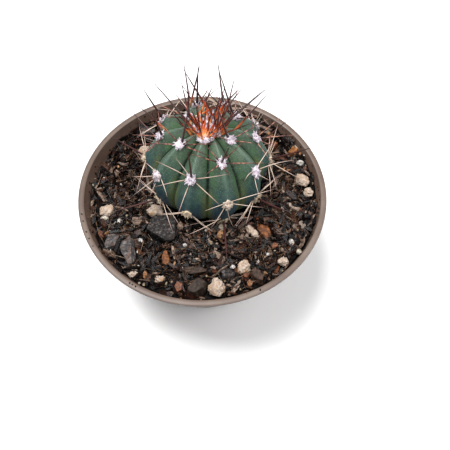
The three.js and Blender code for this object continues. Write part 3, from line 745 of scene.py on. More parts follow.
def litter_material(name, stops, roughness, grain=0.9, sheen=0.3):
    """Moist plant matter: each scrap has its own tone, with a streaky grain on top."""
    material, tree, shader, place = new_material(
        name, Roughness=roughness, IOR=1.33, Specular_IOR_Level=sheen)
    tone = add(tree, "Attribute", attribute_name="tone").outputs["Fac"]
    base = add(tree, "ValToRGB", [tone], stops)
    fleck = add(tree, "TexNoise", [place, per_mm(grain), 6.0, 0.75])
    shade = add(tree, "ValToRGB", [fleck], [(0.34, "#484848"), (0.5, "#B0B0B0"), (0.62, "#FFFFFF")])
    mixed = add(tree, "Mix", [1.0, base, shade], **SHADE)
    wet = add(tree, "MapRange", [fleck, 0.35, 0.65, roughness - 0.12, roughness + 0.15])
    tree.links.new(wet.outputs[0], shader.inputs["Roughness"])
    finish(tree, shader, mixed, fleck, 0.7, 0.3)
    return material


def mineral_material(name, stops, stain, pit, pore):
    """Porous mineral grain: mottled and pitted, with a rusty stain where the tone is high and painted
    shade in its pits.
    """
    material, tree, shader, place = new_material(name, Roughness=0.85, IOR=1.38)
    mottle = add(tree, "TexNoise", [place, per_mm(1.1), 6.0, 0.75])
    base = add(tree, "ValToRGB", [mottle], stops)
    cloud = add(tree, "TexNoise", [place, per_mm(2.6), 2.0])
    tone = add(tree, "Attribute", attribute_name="tone").outputs["Fac"]
    pores = add(tree, "TexVoronoi", [place, per_mm(pore)])
    # The pits take the pit colour as painted shade inside the pores
    pits = add(tree, "MapRange", [pores, 0.22, 0.12, 0, 0.6])
    pitted = lay_over(tree, base, [(stain, [cloud, 0.5, 0.66], tone), (pit, pits)])
    relief = add(tree, "Math", [mottle, pits], operation="SUBTRACT")
    finish(tree, shader, pitted, relief, 0.8, 0.35)
    return material


# Building pieces


def new_object(name, data):
    made = bpy.data.objects.new(name, data)
    bpy.context.scene.collection.objects.link(made)
    return made


def mesh_of(bm, name):
    mesh = bpy.data.meshes.new(name)
    bm.to_mesh(mesh)
    bm.free()
    return mesh


def tag(mesh, key, values):
    layer = mesh.attributes.new(key, "FLOAT", "POINT")
    layer.data.foreach_set("value", np.asarray(values, np.float32))


def piece(mesh, material, nodes, smooth=True):
    """A finished piece: it rides on the one body and stands for its solids."""
    made = new_object(mesh.name, mesh)
    mesh.materials.append(material)
    mesh.polygons.foreach_set("use_smooth", [smooth] * len(mesh.polygons))
    mesh.update()
    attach(made, "root")
    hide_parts(*nodes)


def slice_at(bm, place, way, **choice):
    bmesh.ops.bisect_plane(bm, geom=bm.verts[:] + bm.edges[:] + bm.faces[:], plane_co=place,
                           plane_no=way, **choice)


def noise_at(points, scale, shift=Vector((0, 0, 0))):
    return np.array([noise.noise(Vector(p) * scale + shift) for p in points])


def shape_of(bm):
    """Points and triangles of a small shape, in its own axes."""
    bmesh.ops.triangulate(bm, faces=bm.faces[:])
    bmesh.ops.recalc_face_normals(bm, faces=bm.faces[:])
    bm.verts.index_update()
    points = np.array([v.co[:] for v in bm.verts])
    faces = np.array([[v.index for v in f.verts] for f in bm.faces])
    bm.free()
    return points, faces


def gather(name, copies):
    """One mesh, in metres, out of many (points, triangles, {attribute: values}) copies."""
    starts = np.cumsum([0] + [len(c[0]) for c in copies[:-1]])
    points = np.concatenate([c[0] for c in copies]) * MM
    faces = np.concatenate([c[1] + start for c, start in zip(copies, starts)])
    mesh = bpy.data.meshes.new(name)
    mesh.from_pydata(points.tolist(), [], faces.tolist())
    for key in copies[0][2]:
        tag(mesh, key, np.concatenate([np.broadcast_to(c[2][key], len(c[0])) for c in copies]))
    mesh.validate()
    return mesh


def laid(shape, place, turn, tilt, roll, size, tone):
    """A copy of a shape: scaled, rolled about x, tilted about y, turned about z and toned."""
    points, faces = shape
    spin = Matrix.Rotation(turn, 3, "Z") @ Matrix.Rotation(tilt, 3, "Y")
    spin = np.array(spin @ Matrix.Rotation(roll, 3, "X"))
    return (points * np.asarray(size)) @ spin.T + np.asarray(place), faces, {"tone": tone}


# Pot


def make_pot():
    """The shell is one outline spun round, then drilled for drainage."""
    ring = FOOT_RADIUS - STANDING_RING_WIDTH
    under = POT_HEIGHT - LIP_EDGE
    outline = [
        (0, FLOOR_RAISE), (ring - FLOOR_RAISE, FLOOR_RAISE), (ring - 0.3, 0.3), (ring, 0),
        (FOOT_RADIUS, 0), (FOOT_RADIUS + 0.55, 0.2), (FOOT_RADIUS + FOOT_CORNER, FOOT_CORNER),
        (LEDGE_INNER + WALL, LEDGE_LOW), (LEDGE_OUTER + WALL, LEDGE_TOP),
        (LIP_INNER + WALL, under - 0.3), (LIP_INNER + WALL + 0.3, under),
        (RIM_RADIUS - 0.3, under), (RIM_RADIUS - 0.08, under + 0.12),
        (RIM_RADIUS, under + 0.35), (RIM_RADIUS, POT_HEIGHT - 0.45),
        (RIM_RADIUS - 0.12, POT_HEIGHT - 0.16), (RIM_RADIUS - 0.42, POT_HEIGHT),
        (LIP_INNER + 0.75, POT_HEIGHT - 0.04), (LIP_INNER + 0.42, POT_HEIGHT - 0.1),
        (LIP_INNER + 0.12, POT_HEIGHT - 0.26), (LIP_INNER, POT_HEIGHT - 0.6),
        (LEDGE_OUTER, LEDGE_TOP + 0.15), (LEDGE_OUTER - 0.12, LEDGE_TOP),
        (LEDGE_INNER + 0.1, LEDGE_LOW + 0.08), (LEDGE_INNER, LEDGE_LOW - 0.1),
        (FOOT_RADIUS + 0.5, FLOOR_TOP + 0.8), (FOOT_RADIUS - 0.3, FLOOR_TOP), (0, FLOOR_TOP),
    ]
    bm = bmesh.new()
    corners = [bm.verts.new((r * MM, 0, z * MM)) for r, z in outline]
    edges = [bm.edges.new(pair) for pair in zip(corners, corners[1:])]
    bmesh.ops.spin(bm, geom=corners + edges, axis=(0, 0, 1), cent=(0, 0, 0),
                   angle=2 * pi, steps=180, use_merge=True)
    bmesh.ops.remove_doubles(bm, verts=bm.verts[:], dist=1e-6)
    bmesh.ops.recalc_face_normals(bm, faces=bm.faces[:])
    drills = bmesh.new()
    for i in range(DRAIN_HOLES + 1):
        reach = 0 if i == DRAIN_HOLES else DRAIN_CIRCLE
        turn = 2 * pi * i / DRAIN_HOLES
        at = Matrix.Translation((*(c * MM for c in polar(reach, turn)), 0))
        bmesh.ops.create_cone(drills, cap_ends=True, segments=32, radius1=DRAIN_RADIUS * MM,
                              radius2=DRAIN_RADIUS * MM, depth=4 * FLOOR_TOP * MM, matrix=at)
    shell = new_object("shell_blank", mesh_of(bm, "shell_blank"))
    cutter = new_object("drill_blank", mesh_of(drills, "drill_blank"))
    cut = shell.modifiers.new("drain_holes", "BOOLEAN")
    cut.object = cutter
    cut.operation = "DIFFERENCE"
    bpy.context.view_layer.update()
    graph = bpy.context.evaluated_depsgraph_get()
    drilled = bpy.data.meshes.new_from_object(shell.evaluated_get(graph))
    bpy.data.objects.remove(shell)
    bpy.data.objects.remove(cutter)
    drilled.name = "pot_shell"
    piece(drilled, pot_material(), ["pot"])
    drilled.set_sharp_from_angle(angle=radians(35))


# Plant body


def make_body():
    """The ribbed globe and its short root, with a cushion hollow at each areole."""
    bm = bmesh.new()
    bmesh.ops.create_uvsphere(bm, u_segments=RIBS * 24, v_segments=130, radius=1)
    co = np.array([v.co[:] for v in bm.verts])
    down = np.arccos(np.clip(co[:, 2], -1, 1)) / pi
    turn = np.arctan2(co[:, 0], -co[:, 1]) + FIRST_GROOVE
    share = (down - BODY_SHARE) / (1 - BODY_SHARE)
    angle = np.minimum(down / BODY_SHARE, 1) * BODY_LAST_ANGLE
    points = skin(angle, turn)
    # Skin is never quite even: slight swells along each rib, and a low cushion at each areole
    rise = SKIN_SWELL * noise_at(points, 1 / SKIN_SWELL_SIZE) * np.sin(angle)
    near_groove = bell((1 - off_crest(turn)) / CREASE_WIDTH)
    open_part = smoothstep(angle, *CREASE_ONSET)
    open_part = open_part * (1 - smoothstep(angle, GROOVE_FADE_START, GROOVE_FADE_END))
    rise -= CREASE_DEPTH * near_groove * open_part
    for spot_turn, spot_angle, _ in list_areoles():
        away = np.linalg.norm(points - skin(spot_angle, spot_turn), axis=1)
        rise += CUSHION_RISE * bell(away / CUSHION_WIDTH)
        rise -= CUSHION_HOLLOW * bell(away / CUSHION_HOLLOW_WIDTH)
    points = skin(angle, turn, rise)
    neck = skin(BODY_LAST_ANGLE, FIRST_GROOVE + RIB_PITCH / 2)
    root = share > 0
    radius = hypot(neck[0], neck[1]) * ROOT_SLIM * (1 - np.clip(share, 0, 1)) ** 0.6
    points[root] = np.stack([radius * np.sin(turn), -radius * np.cos(turn),
                             neck[2] - share * ROOT_LENGTH], axis=-1)[root]
    poles = (down < 1e-6) | (down > 1 - 1e-6)
    points[poles, :2] = 0
    points = to_pot(points) * MM
    for vert, point in zip(bm.verts, points):
        vert.co = point
    bmesh.ops.recalc_face_normals(bm, faces=bm.faces[:])
    mesh = mesh_of(bm, "cactus_body")
    tag(mesh, "groove", off_crest(turn))
    tag(mesh, "down", down / BODY_SHARE)
    tag(mesh, "east", np.cos(turn))
    tag(mesh, "north", np.sin(turn))
    piece(mesh, skin_material(), ["cactus"])


# Spines, wool and their hairs


def unit_needle(sides, steps):
    """A tube of unit length and radius standing on its base, ringed up its length."""
    bm = bmesh.new()
    bmesh.ops.create_cone(bm, cap_ends=True, segments=sides, radius1=1, radius2=1, depth=1)
    bmesh.ops.translate(bm, verts=bm.verts[:], vec=(0, 0, 0.5))
    for i in range(1, steps):
        slice_at(bm, (0, 0, i / steps), (0, 0, 1))
    return shape_of(bm)


def along_curve(needle, line, bend_way, radius):
    """A unit needle laid along a curve: line(share) gives its points, radius its thickness."""
    points, faces = needle
    share = points[:, 2:]
    foot, tip = line(np.array([[0.0], [1.0]]))
    way = unit(tip - foot)
    across = bend_way - way * np.dot(bend_way, way)
    if np.linalg.norm(across) < 1e-6:
        across = np.cross(way, [1.0, 0.3, 0.2])
    across = unit(across)
    round_it = points[:, :1] * across + points[:, 1:2] * np.cross(way, across)
    return line(share) + radius(share) * round_it, faces, share[:, 0]


def make_spines(spines):
    needle = unit_needle(7, 9)
    draw = make_random(SEED + 11)
    copies = []
    for spine in spines:
        aside = np.cross(spine.direction, spine.bend_way)
        bow = aside * play(draw, OLD_SPINE_BOW) * 4 * spine.age
        young, old = FINE_SPINE_SHARE
        fine = 1 if spine.central else young + (old - young) * spine.age
        half = fine * spine.thickness / 2

        def radius(t):
            base = 1 + 0.3 * bell(t / 0.16)
            return half * base * (1 - 0.5 * t - 0.42 * t**5)

        def line(t):
            return spine_point(spine, t) + bow * t * (1 - t)

        points, faces, share = along_curve(needle, line, spine.bend_way, radius)
        copies.append((points, faces, {
            "along": share, "reach": share * spine.length / AMBER_RUN, "age": spine.age,
            "central": spine.central, "crown": spine.crown}))
    piece(gather("cactus_spines", copies), spine_material(), ["cactus"])


def lock_of_hair(hair, foot, way, length, spread, count, draw, age):
    """Fine hairs that start apart round a foot and draw together into one pointed lock."""
    tip = foot + way * length
    for _ in range(count):
        apart = play_by(draw, spread, spread, spread)
        curl = play_by(draw, HAIR_CURL, HAIR_CURL, HAIR_CURL)

        def line(t):
            return foot + (tip - foot) * t + apart * (1 - 0.8 * t) + curl * t * (1 - t)

        points, faces, _ = along_curve(hair, line, curl, lambda t: HAIR_RADIUS * (1 - 0.7 * t))
        yield points, faces, {"age": age}


def make_wool(areoles):
    """Each areole's felt: a low lumpy cushion with pointed locks of fine hair all round."""
    bm = bmesh.new()
    bmesh.ops.create_icosphere(bm, subdivisions=3, radius=1)
    ball, ball_faces = shape_of(bm)
    hair = unit_needle(3, 3)
    draw = make_random(SEED + 7)
    copies = []
    for turn, angle, _ in areoles:
        at, up, side, out = areole_frame(turn, angle)
        age = float(smoothstep(angle, *OLD_WOOL))
        basis = np.stack([side, up, out])
        shift = drawn_vector(draw, 50)
        lumps = 0.34 * noise_at(ball, 2.2, shift) + 0.2 * noise_at(ball, 6.5, shift)
        size = (1.1 + 0.2 * play(draw, 1)) * (YOUNG_WOOL if angle < TUFT_ANGLE else 1)
        felt = ball * (0.88 + lumps)[:, None] * WOOL_SIZE * size
        copies.append((felt @ basis + at, ball_faces, {"age": age}))
        for i in range(OUTER_LOCKS + INNER_LOCKS):
            if i < OUTER_LOCKS:
                around = 2 * pi * (i + 0.8 * draw()) / OUTER_LOCKS
                rise = radians(55 + 28 * draw())
                length = 0.6 + 0.8 * draw()
            else:
                around = 2 * pi * draw()
                rise = radians(5 + 40 * draw())
                length = 0.4 + 0.5 * draw()
            way = np.array([*polar(sin(rise), around), cos(rise)])
            foot = at + (way * WOOL_SIZE * size * 0.75) @ basis
            copies += lock_of_hair(hair, foot, way @ basis, length, LOCK_SPREAD, LOCK_HAIRS,
                                   draw, age)
    # The crown's woolly centre, out of which the youngest spines grow
    basis = TURN.T
    for i in range(CROWN_CUSHIONS):
        reach = CROWN_CUSHION_SPACING * sqrt(i + 0.3)
        turn = i * SUNFLOWER_TURN
        sink = CROWN_DIMPLE * bell(reach / CROWN_DIMPLE_RADIUS)
        high = BODY_HALF_HEIGHT + 0.5 - sink - 0.02 * reach**2
        at = to_pot(np.array([*polar(reach, turn), high]))
        lumps = noise_at(ball, 2.2, drawn_vector(draw, 50))
        felt = ball * (0.8 + 0.4 * lumps)[:, None] * CROWN_CUSHION_SIZE
        copies.append((felt @ basis + at, ball_faces, {"age": 0.0}))
        rise = radians(35 * draw())
        way = np.array([*polar(sin(rise), turn), cos(rise)]) @ basis
        copies += lock_of_hair(hair, at, way, 1.6 + 1.4 * draw(), CROWN_LOCK_SPREAD,
                               CROWN_LOCK_HAIRS, draw, 0.0)
    piece(gather("areole_wool", copies), wool_material(), ["cactus"])


# Soil


def inside_loose(x, y, margin):
    """Depth of the socket of a loose piece whose footprint, grown by a margin, holds a point."""
    for cx, cy, length, width, height, turn in LOOSE:
        c, s = cos(radians(turn)), sin(radians(turn))
        u = ((x - cx) * c + (y - cy) * s) / (length / 2 + margin)
        v = (-(x - cx) * s + (y - cy) * c) / (width / 2 + margin)
        if u * u + v * v < 1:
            return soil_level(cx, cy) + (SUNK_SHARE - 0.5) * height - GAP
    return None


def plant_underside(x, y):
    """Height of the plant's underside over a point of the soil, or None beside the plant."""
    depth = 0.0
    for _ in range(4):
        dx = x - PLANT_PLACE[0] + depth * LEAN_RIGHT
        dy = y - PLANT_PLACE[1] + depth * LEAN_BACK
        share = hypot(dx, dy) / BODY_RADIUS
        if share >= 1:
            return None
        depth = BODY_LOWER_HEIGHT * sqrt(1 - share**2)
    return PLANT_PLACE[2] - depth - LEAN_RIGHT * dx - LEAN_BACK * dy


def bed_height(x, y):
    """Height of the soil bed, with a socket under the plant and each loose piece."""
    z = soil_top(x, y) - BED_SINK
    z += sum(rise * noise.noise(Vector((x, y, at)) * scale) for rise, scale, at in BED_NOISE)
    socket = inside_loose(x, y, 0.1)
    if socket:
        z = min(z, socket)
    under = plant_underside(x, y)
    if under is not None:
        z = min(z, under - GAP - 0.2)
        if hypot(x - PLANT_PLACE[0], y - PLANT_PLACE[1]) < ROOT_HOLE:
            z = min(z, PLANT_PLACE[2] - BODY_LOWER_HEIGHT - ROOT_LENGTH)
    return z


def make_bed():
    """A square grid drawn out to a disc, raised into crumbs, and carried down to the floor."""
    bm = bmesh.new()
    bmesh.ops.create_grid(bm, x_segments=170, y_segments=170, size=1)
    rim = [e for e in bm.edges if e.is_boundary]
    rim_verts = {v for e in rim for v in e.verts}
    for vert in bm.verts:
        u, v, _ = vert.co
        square = max(abs(u), abs(v))
        round_ = hypot(u, v)
        reach = square / round_ if round_ else 0
        x, y = u * reach, v * reach
        edge = wall_inside(soil_level(x * BANK_END, y * BANK_END) - 0.8) - GAP - 0.1
        x, y = x * edge, y * edge
        vert.co = (x, y, bed_height(x, y))
    skirt = bmesh.ops.extrude_edge_only(bm, edges=rim)
    low = [v for v in skirt["geom"] if isinstance(v, bmesh.types.BMVert)]
    for vert in low:
        out = (FOOT_RADIUS - 2 * GAP) / hypot(vert.co.x, vert.co.y)
        vert.co = (vert.co.x * out, vert.co.y * out, FLOOR_TOP + GAP)
    base = [e for e in bm.edges if e.is_boundary and e.verts[0] not in rim_verts]
    bmesh.ops.contextual_create(bm, geom=base)
    bmesh.ops.recalc_face_normals(bm, faces=bm.faces[:])
    bmesh.ops.scale(bm, vec=(MM, MM, MM), verts=bm.verts[:])
    mesh = mesh_of(bm, "soil_bed")
    tag(mesh, "tone", [hashed(round(v.co.x / MM / 1.3), round(v.co.y / MM / 1.3)) * 0.6
                       for v in mesh.vertices])
    # The bed's near-black colour is partly wet peat and partly painted shade in the gaps between
    # scraps
    material = litter_material("moist_peat_gap_shade", PEAT_GAP_SHADE_TONES, 0.8, grain=1.2)
    piece(mesh, material, ["soil"])


# Near-black tones of the soil bed: partly wet peat, partly painted shade of the gaps between scraps
PEAT_GAP_SHADE_TONES = [(0.0, "#060403"), (0.5, "#0E0907"), (0.8, "#1C120D"), (1.0, "#2C1C14")]
CRUMB_TONES = [(0.0, "#080403"), (0.4, "#160D0A"), (0.66, "#36231B"), (0.82, "#644839"),
               (0.9, "#6E4029"), (0.96, "#9C7A5A"), (1.0, "#E2D2BC")]
# The pale grey-brown tones round 0.78 give some shreds a grey cast that is partly painted glint of
# wet bark
BARK_TONES = [(0.0, "#060302"), (0.42, "#120906"), (0.57, "#321A12"), (0.68, "#5E4233"),
              (0.78, "#B49C8A"), (0.82, "#4E2916"), (0.9, "#844A28"), (0.96, "#B88A60"),
              (1.0, "#E6D2B8")]
CHIP_TONES = [(0.0, "#2A221E"), (0.35, "#4A3C34"), (0.6, "#5E4232"), (0.8, "#7A4A32"),
              (1.0, "#A66C3C")]
GRIT_TONES = [(0.0, "#7E6A4E"), (0.4, "#AFA086"), (0.75, "#CBC1B0"), (1.0, "#E6E2DE")]
ROOT_TONES = [(0.0, "#341C14"), (0.4, "#6A402C"), (0.75, "#9C7A5C"), (1.0, "#CDB49C")]


def sliver_shape(draw):
    """A torn strip of bark: long, thin, slightly bowed, with ragged ends."""
    bm = bmesh.new()
    bmesh.ops.create_cube(bm, size=1)
    for cut in (-0.28, 0.0, 0.28):
        slice_at(bm, (cut, 0, 0), (1, 0, 0))
    bow, lift = play(draw, 0.5), play(draw, 1.0)
    for vert in bm.verts:
        x, y, z = vert.co
        thin = 1 - 1.5 * x * x
        ragged = 0.16 * play(draw, 1) if abs(x) > 0.4 else 0
        vert.co = (x + ragged, y * thin * (1 + 0.5 * play(draw, 1)) + bow * (x * x - 0.1),
                   z * thin * (1 + 0.5 * play(draw, 1)) + lift * (x * x - 0.1))
    return shape_of(bm)


def flake_shape(draw):
    """A flat scrap of bark with five to seven uneven corners."""
    bm = bmesh.new()
    sides = 5 + int(draw() * 3)
    bmesh.ops.create_cone(bm, cap_ends=True, segments=sides, radius1=0.55, radius2=0.46, depth=1)
    for vert in bm.verts:
        grow = 1 + play(draw, 0.55)
        vert.co = (vert.co.x * grow, vert.co.y * grow, vert.co.z * (1 + play(draw, 0.5)))
    return shape_of(bm)


def crumb_shape(draw, subdivisions, rough):
    bm = bmesh.new()
    bmesh.ops.create_icosphere(bm, subdivisions=subdivisions, radius=0.5)
    shift = drawn_vector(draw, 30)
    for vert in bm.verts:
        vert.co *= 1 + rough * noise.noise(vert.co * 2.4 + shift) + play(draw, rough * 0.5)
    return shape_of(bm)


def is_free(x, y, z, half, turn, margin):
    """True where a scrap stays off the wall, the plant and the loose pieces."""
    for end in (-1, 0, 1):
        dx, dy = polar(end * half, turn)
        px, py = x + dx, y + dy
        if hypot(px, py) > wall_inside(z) - 0.4 * margin:
            return False
        under = plant_underside(px, py)
        if under is not None and z + margin > under:
            return False
        if inside_loose(px, py, margin * 0.4):
            return False
    return True


def pick(draw, shapes):
    return shapes[int(draw() * len(shapes)) % len(shapes)]


def strew(draw, shapes, count, lengths, widths, heights, tones, tilt, bury):
    """Copies of the shapes laid at random over the soil, each with its own size and tone."""
    copies = []
    while len(copies) < count:
        x, y = polar(BANK_END * sqrt(draw()), 2 * pi * draw())
        length = draw_between(draw, *lengths, 1.6)
        width = draw_between(draw, *widths)
        height = draw_between(draw, *heights)
        turn = 2 * pi * draw()
        lean = play(draw, 2 * tilt)
        roll = play(draw, 3 * tilt)
        tone = draw_between(draw, *tones)
        shape = pick(draw, shapes)
        z = soil_top(x, y) + draw_between(draw, *bury)
        if is_free(x, y, z, length / 2, turn, 0.45 + height / 2):
            size = (length, width, height)
            copies.append(laid(shape, (x, y, z), turn, lean, roll, size, tone))
    return copies


def rootlets(draw, count):
    """Fine hair roots and fibres that wander over the soil."""
    hair = unit_needle(3, 7)
    copies = []
    while len(copies) < count:
        x, y = polar(ROOTLET_REACH * sqrt(draw()), 2 * pi * draw())
        turn = 2 * pi * draw()
        length = 4 + 8 * draw()
        z = soil_top(x, y) + 0.4 + 0.5 * draw()
        curl = play_by(draw, 4, 4, 1.5)
        tone = draw()
        thick = 0.06 + 0.08 * draw() ** 2
        if is_free(x, y, z, length / 2 + 1.5, turn, 0.8):
            step = np.array([cos(turn), sin(turn), 0]) * length

            def line(t):
                hump = np.array([0, 0, 1.2]) * t * (1 - t)
                return np.array([x, y, z]) + step * (t - 0.5) + curl * (t - 0.5) ** 2 + hump

            points, faces, _ = along_curve(hair, line, curl, lambda t: thick * (1 - 0.5 * t))
            copies.append((points, faces, {"tone": tone}))
    return copies


# Where specks of soil lie on the lip, in degrees round from +X, and how long each is
LIP_SPECKS = [(-164.5, 1.0), (-160.6, 0.8), (-154.6, 0.9), (-150.9, 0.7), (-146.4, 0.5),
              (-121, 0.8), (-119.6, 0.6), (-117.9, 0.8), (-62.2, 0.9)]
LIP_SPECK_REACH = 43.9
WALL_CRUMBS = 150

# Scraps seen at these places: x, y, length, width, height, turn in degrees and tone
SEEN_GRIT = [
    (-35.2, -10.7, 3.0, 2.4, 2.4, 10, 0.75), (-30.3, -10.4, 2.6, 2.6, 2.2, 40, 0.9),
    (-27.9, -10.8, 2.0, 1.8, 1.8, 0, 0.35), (-19.9, -0.4, 3.0, 2.6, 2.4, 20, 0.6),
    (36.2, 14.6, 2.8, 2.6, 2.4, 0, 0.9), (31.9, -19.5, 2.2, 2.8, 2.2, 15, 0.9),
    (34.1, -23.8, 2.0, 2.0, 1.8, 0, 0.7), (23.6, -24.2, 1.8, 1.8, 1.8, 0, 1.0),
    (-5.8, -19.3, 1.8, 2.6, 1.6, 10, 1.0), (3.9, -18.1, 2.2, 1.8, 1.6, 30, 0.2),
    (11.5, -28.5, 1.8, 1.8, 1.6, 0, 1.0), (20.1, -27.2, 1.2, 2.4, 1.4, -10, 1.0),
    (-22.0, -17.9, 2.2, 2.6, 1.8, 25, 0.95), (7.6, -11.6, 3.2, 3.4, 2.4, 0, 0.55),
]
SEEN_CHIPS = [
    (15.6, -8.4, 2.4, 3.6, 1.8, 0, 0.92), (26.1, -20.4, 3.2, 2.0, 1.8, 25, 0.9),
    (23.0, -31.4, 3.0, 1.6, 1.4, -10, 0.96), (16.0, -32.4, 2.6, 2.2, 1.6, 0, 0.88),
    (17.3, -35.4, 2.0, 2.8, 1.6, 10, 0.92), (-6.5, -37.5, 3.0, 3.8, 2.0, 20, 0.9),
    (6.7, -14.8, 2.2, 3.6, 1.8, -10, 0.95), (31.3, 11.9, 3.6, 2.2, 1.8, 10, 0.92),
    (29.9, 16.4, 4.0, 2.2, 1.8, -20, 0.89), (-35.4, -17.6, 2.0, 3.4, 1.6, 20, 0.87),
    (-24.4, -9.6, 5.2, 4.4, 2.2, 10, 0.72), (-24.2, -14.4, 6.2, 3.2, 1.6, -15, 0.6),
    (-18.4, -33.2, 1.6, 3.0, 1.6, 10, 0.93), (33.4, -4.2, 6.3, 2.2, 1.8, -42, 0.77),
    (32.5, 0.6, 5.5, 2.6, 1.8, -45, 0.5), (26.7, -12.8, 4.2, 2.8, 2.0, -75, 0.56),
    (37.6, -9.2, 3.4, 3.0, 2.0, 0, 0.3), (36.0, -12.9, 4.2, 2.2, 1.8, -70, 0.75),
    (-30.5, -3.0, 5.0, 2.6, 1.8, 30, 0.45), (22.6, -2.9, 5.5, 3.0, 1.6, -20, 0.55),
    (29.9, -10.0, 5.0, 2.0, 1.6, -50, 0.45), (-35.2, -13.2, 4.6, 2.2, 1.6, -60, 0.6),
]
SEEN_TWIGS = [
    (19.9, -6.0, 9.5, 1.2, 1.2, 5, 0.4), (-16.7, -27.1, 6.5, 1.2, 1.2, 50, 0.45),
    (-3.7, -24.6, 5.0, 1.4, 1.2, -70, 0.5), (10.4, -21.0, 7.0, 1.0, 1.0, 25, 0.6),
    (-0.5, -17.2, 6.5, 1.1, 1.0, 35, 0.5), (-9.0, -21.6, 8.0, 1.3, 1.2, 40, 0.4),
    (-8.2, -29.4, 7.0, 1.2, 1.2, -35, 0.6), (12.8, -36.4, 4.6, 0.9, 0.9, 55, 0.76),
    (27.5, -7.0, 8.0, 1.4, 1.2, -35, 0.55), (-27.6, 14.0, 7.0, 1.2, 1.2, 60, 0.5),
]


def seen_pieces(rows, shapes, draw, lift):
    return [laid(pick(draw, shapes), (x, y, soil_top(x, y) + lift * height),
                 radians(turn) + play(draw, 0.3), play(draw, 0.4), play(draw, 0.4),
                 (length, width, height), tone)
            for x, y, length, width, height, turn, tone in rows]


def crumbs_on_pot(draw, shapes):
    """Crumbs of soil caught on the inner wall, and the few that lie on the lip."""
    for _ in range(WALL_CRUMBS):
        way = 2 * pi * draw()
        level = soil_level(*polar(BANK_END, way))
        z = level + 0.3 + (POT_HEIGHT - level) * draw() ** 1.8
        z = min(z, POT_HEIGHT - 0.9)
        size = 0.35 + 0.7 * draw() ** 2
        at = (*polar(wall_inside(z) - 0.2 * size, way), z)
        yield laid(pick(draw, shapes), at, way, play(draw, 1), play(draw, 3),
                   (0.5 * size, size, size), 0.2 + 0.75 * draw())
    for degrees, long in LIP_SPECKS:
        way = radians(degrees)
        at = (*polar(LIP_SPECK_REACH, way), POT_HEIGHT + 0.02)
        yield laid(pick(draw, shapes), at, way + play(draw, 2), 0, 0, (long, 0.55, 0.35), 0.1)


def make_litter():
    draw = make_random(SEED + 31)
    slivers = [sliver_shape(draw) for _ in range(14)]
    flakes = [flake_shape(draw) for _ in range(14)]
    small = [crumb_shape(draw, 1, 0.5) for _ in range(10)]
    grains = [crumb_shape(draw, 2, 0.35) for _ in range(8)]
    bark = strew(draw, flakes, *FLAKES)
    bark += strew(draw, slivers, *SLIVERS)
    bark += strew(draw, slivers, *PALE_SLIVERS)
    bark += seen_pieces(SEEN_CHIPS, flakes, draw, 0.5)
    bark += seen_pieces(SEEN_TWIGS, slivers, draw, 0.9)
    chips = litter_material("moist_bark_shreds", BARK_TONES, 0.32, sheen=0.38)
    piece(gather("bark_shreds", bark), chips, ["soil"], smooth=False)
    peat = [*strew(draw, small, *PEAT_CRUMBS), *crumbs_on_pot(draw, small)]
    peat_look = litter_material("peat_crumbs", CRUMB_TONES, 0.6)
    piece(gather("peat_crumbs", peat), peat_look, ["soil"], smooth=False)
    grit = strew(draw, grains, *GRIT_GRAINS) + seen_pieces(SEEN_GRIT, grains, draw, 0.35)
    grit_look = litter_material("pumice_grit", GRIT_TONES, 0.8, grain=0.8)
    piece(gather("fine_grit", grit), grit_look, ["soil"])
    roots = litter_material("hair_roots", ROOT_TONES, 0.55)
    piece(gather("hair_roots", rootlets(draw, ROOTLETS)), roots, ["soil"])


def box_of(bm):
    points = np.array([v.co[:] for v in bm.verts])
    return points.min(axis=0), points.max(axis=0)


def split_faces(bm, draw, count, depth):
    """Splits flat faces off a lump, as on broken stone, and lets it fill its box again."""
    low, high = box_of(bm)
    for _ in range(count):
        turn, lift = 2 * pi * draw(), play(draw, 0.9)
        way = Vector((*polar(cos(lift), turn), sin(lift)))
        centre = sum((v.co for v in bm.verts), Vector()) / len(bm.verts)
        far = max((v.co - centre).dot(way) for v in bm.verts)
        reach = far * (1 - depth * (0.5 + 0.5 * draw()))
        slice_at(bm, centre + way * reach, way, clear_outer=True)
        bmesh.ops.holes_fill(bm, edges=[e for e in bm.edges if e.is_boundary])
    left, right = box_of(bm)
    for vert in bm.verts:
        share = (np.array(vert.co[:]) - left) / (right - left)
        vert.co = (low + high) / 2 + (share - 0.5) * (high - low) * SPLIT_GROWTH


def make_loose(name, materials, cuts, rough, fine, tones, rounding=0, splits=0, depth=0):
    """Finer copies of the loose solids: split, rounded a little, roughened and toned."""
    draw = make_random(SEED + len(name))
    for index, tone in enumerate(tones):
        node = f"{name}_{index + 1}"
        bm = bmesh.new()
        bm.from_mesh(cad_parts[node].data)
        bmesh.ops.remove_doubles(bm, verts=bm.verts[:], dist=1e-6)
        if splits:
            split_faces(bm, draw, splits, depth)
        bmesh.ops.triangulate(bm, faces=bm.faces[:])
        bmesh.ops.subdivide_edges(bm, edges=bm.edges[:], cuts=cuts, use_grid_fill=True)
        bmesh.ops.triangulate(bm, faces=bm.faces[:])
        bmesh.ops.smooth_vert(bm, verts=bm.verts[:], factor=rounding, use_axis_x=True,
                              use_axis_y=True, use_axis_z=True)
        bm.normal_update()
        shift = Vector((index * 7.3, len(name) * 3.1, 2.0))
        moves = []
        for vert in bm.verts:
            at = vert.co / MM + shift
            pits = max(0.0, noise.noise(at * 1.3) - 0.2)
            moves.append(rough * noise.noise(at * 0.55) + fine * noise.noise(at * 1.9)
                         - 2.2 * fine * pits)
        for vert, move in zip(bm.verts, moves):
            vert.co += vert.normal * move * MM
        mesh = mesh_of(bm, node + "_finished")
        tag(mesh, "tone", [tone] * len(mesh.vertices))
        piece(mesh, materials[index % len(materials)], [node], smooth=name == "pumice")
        mesh.set_sharp_from_angle(angle=radians(28))


# Camera, light and floor


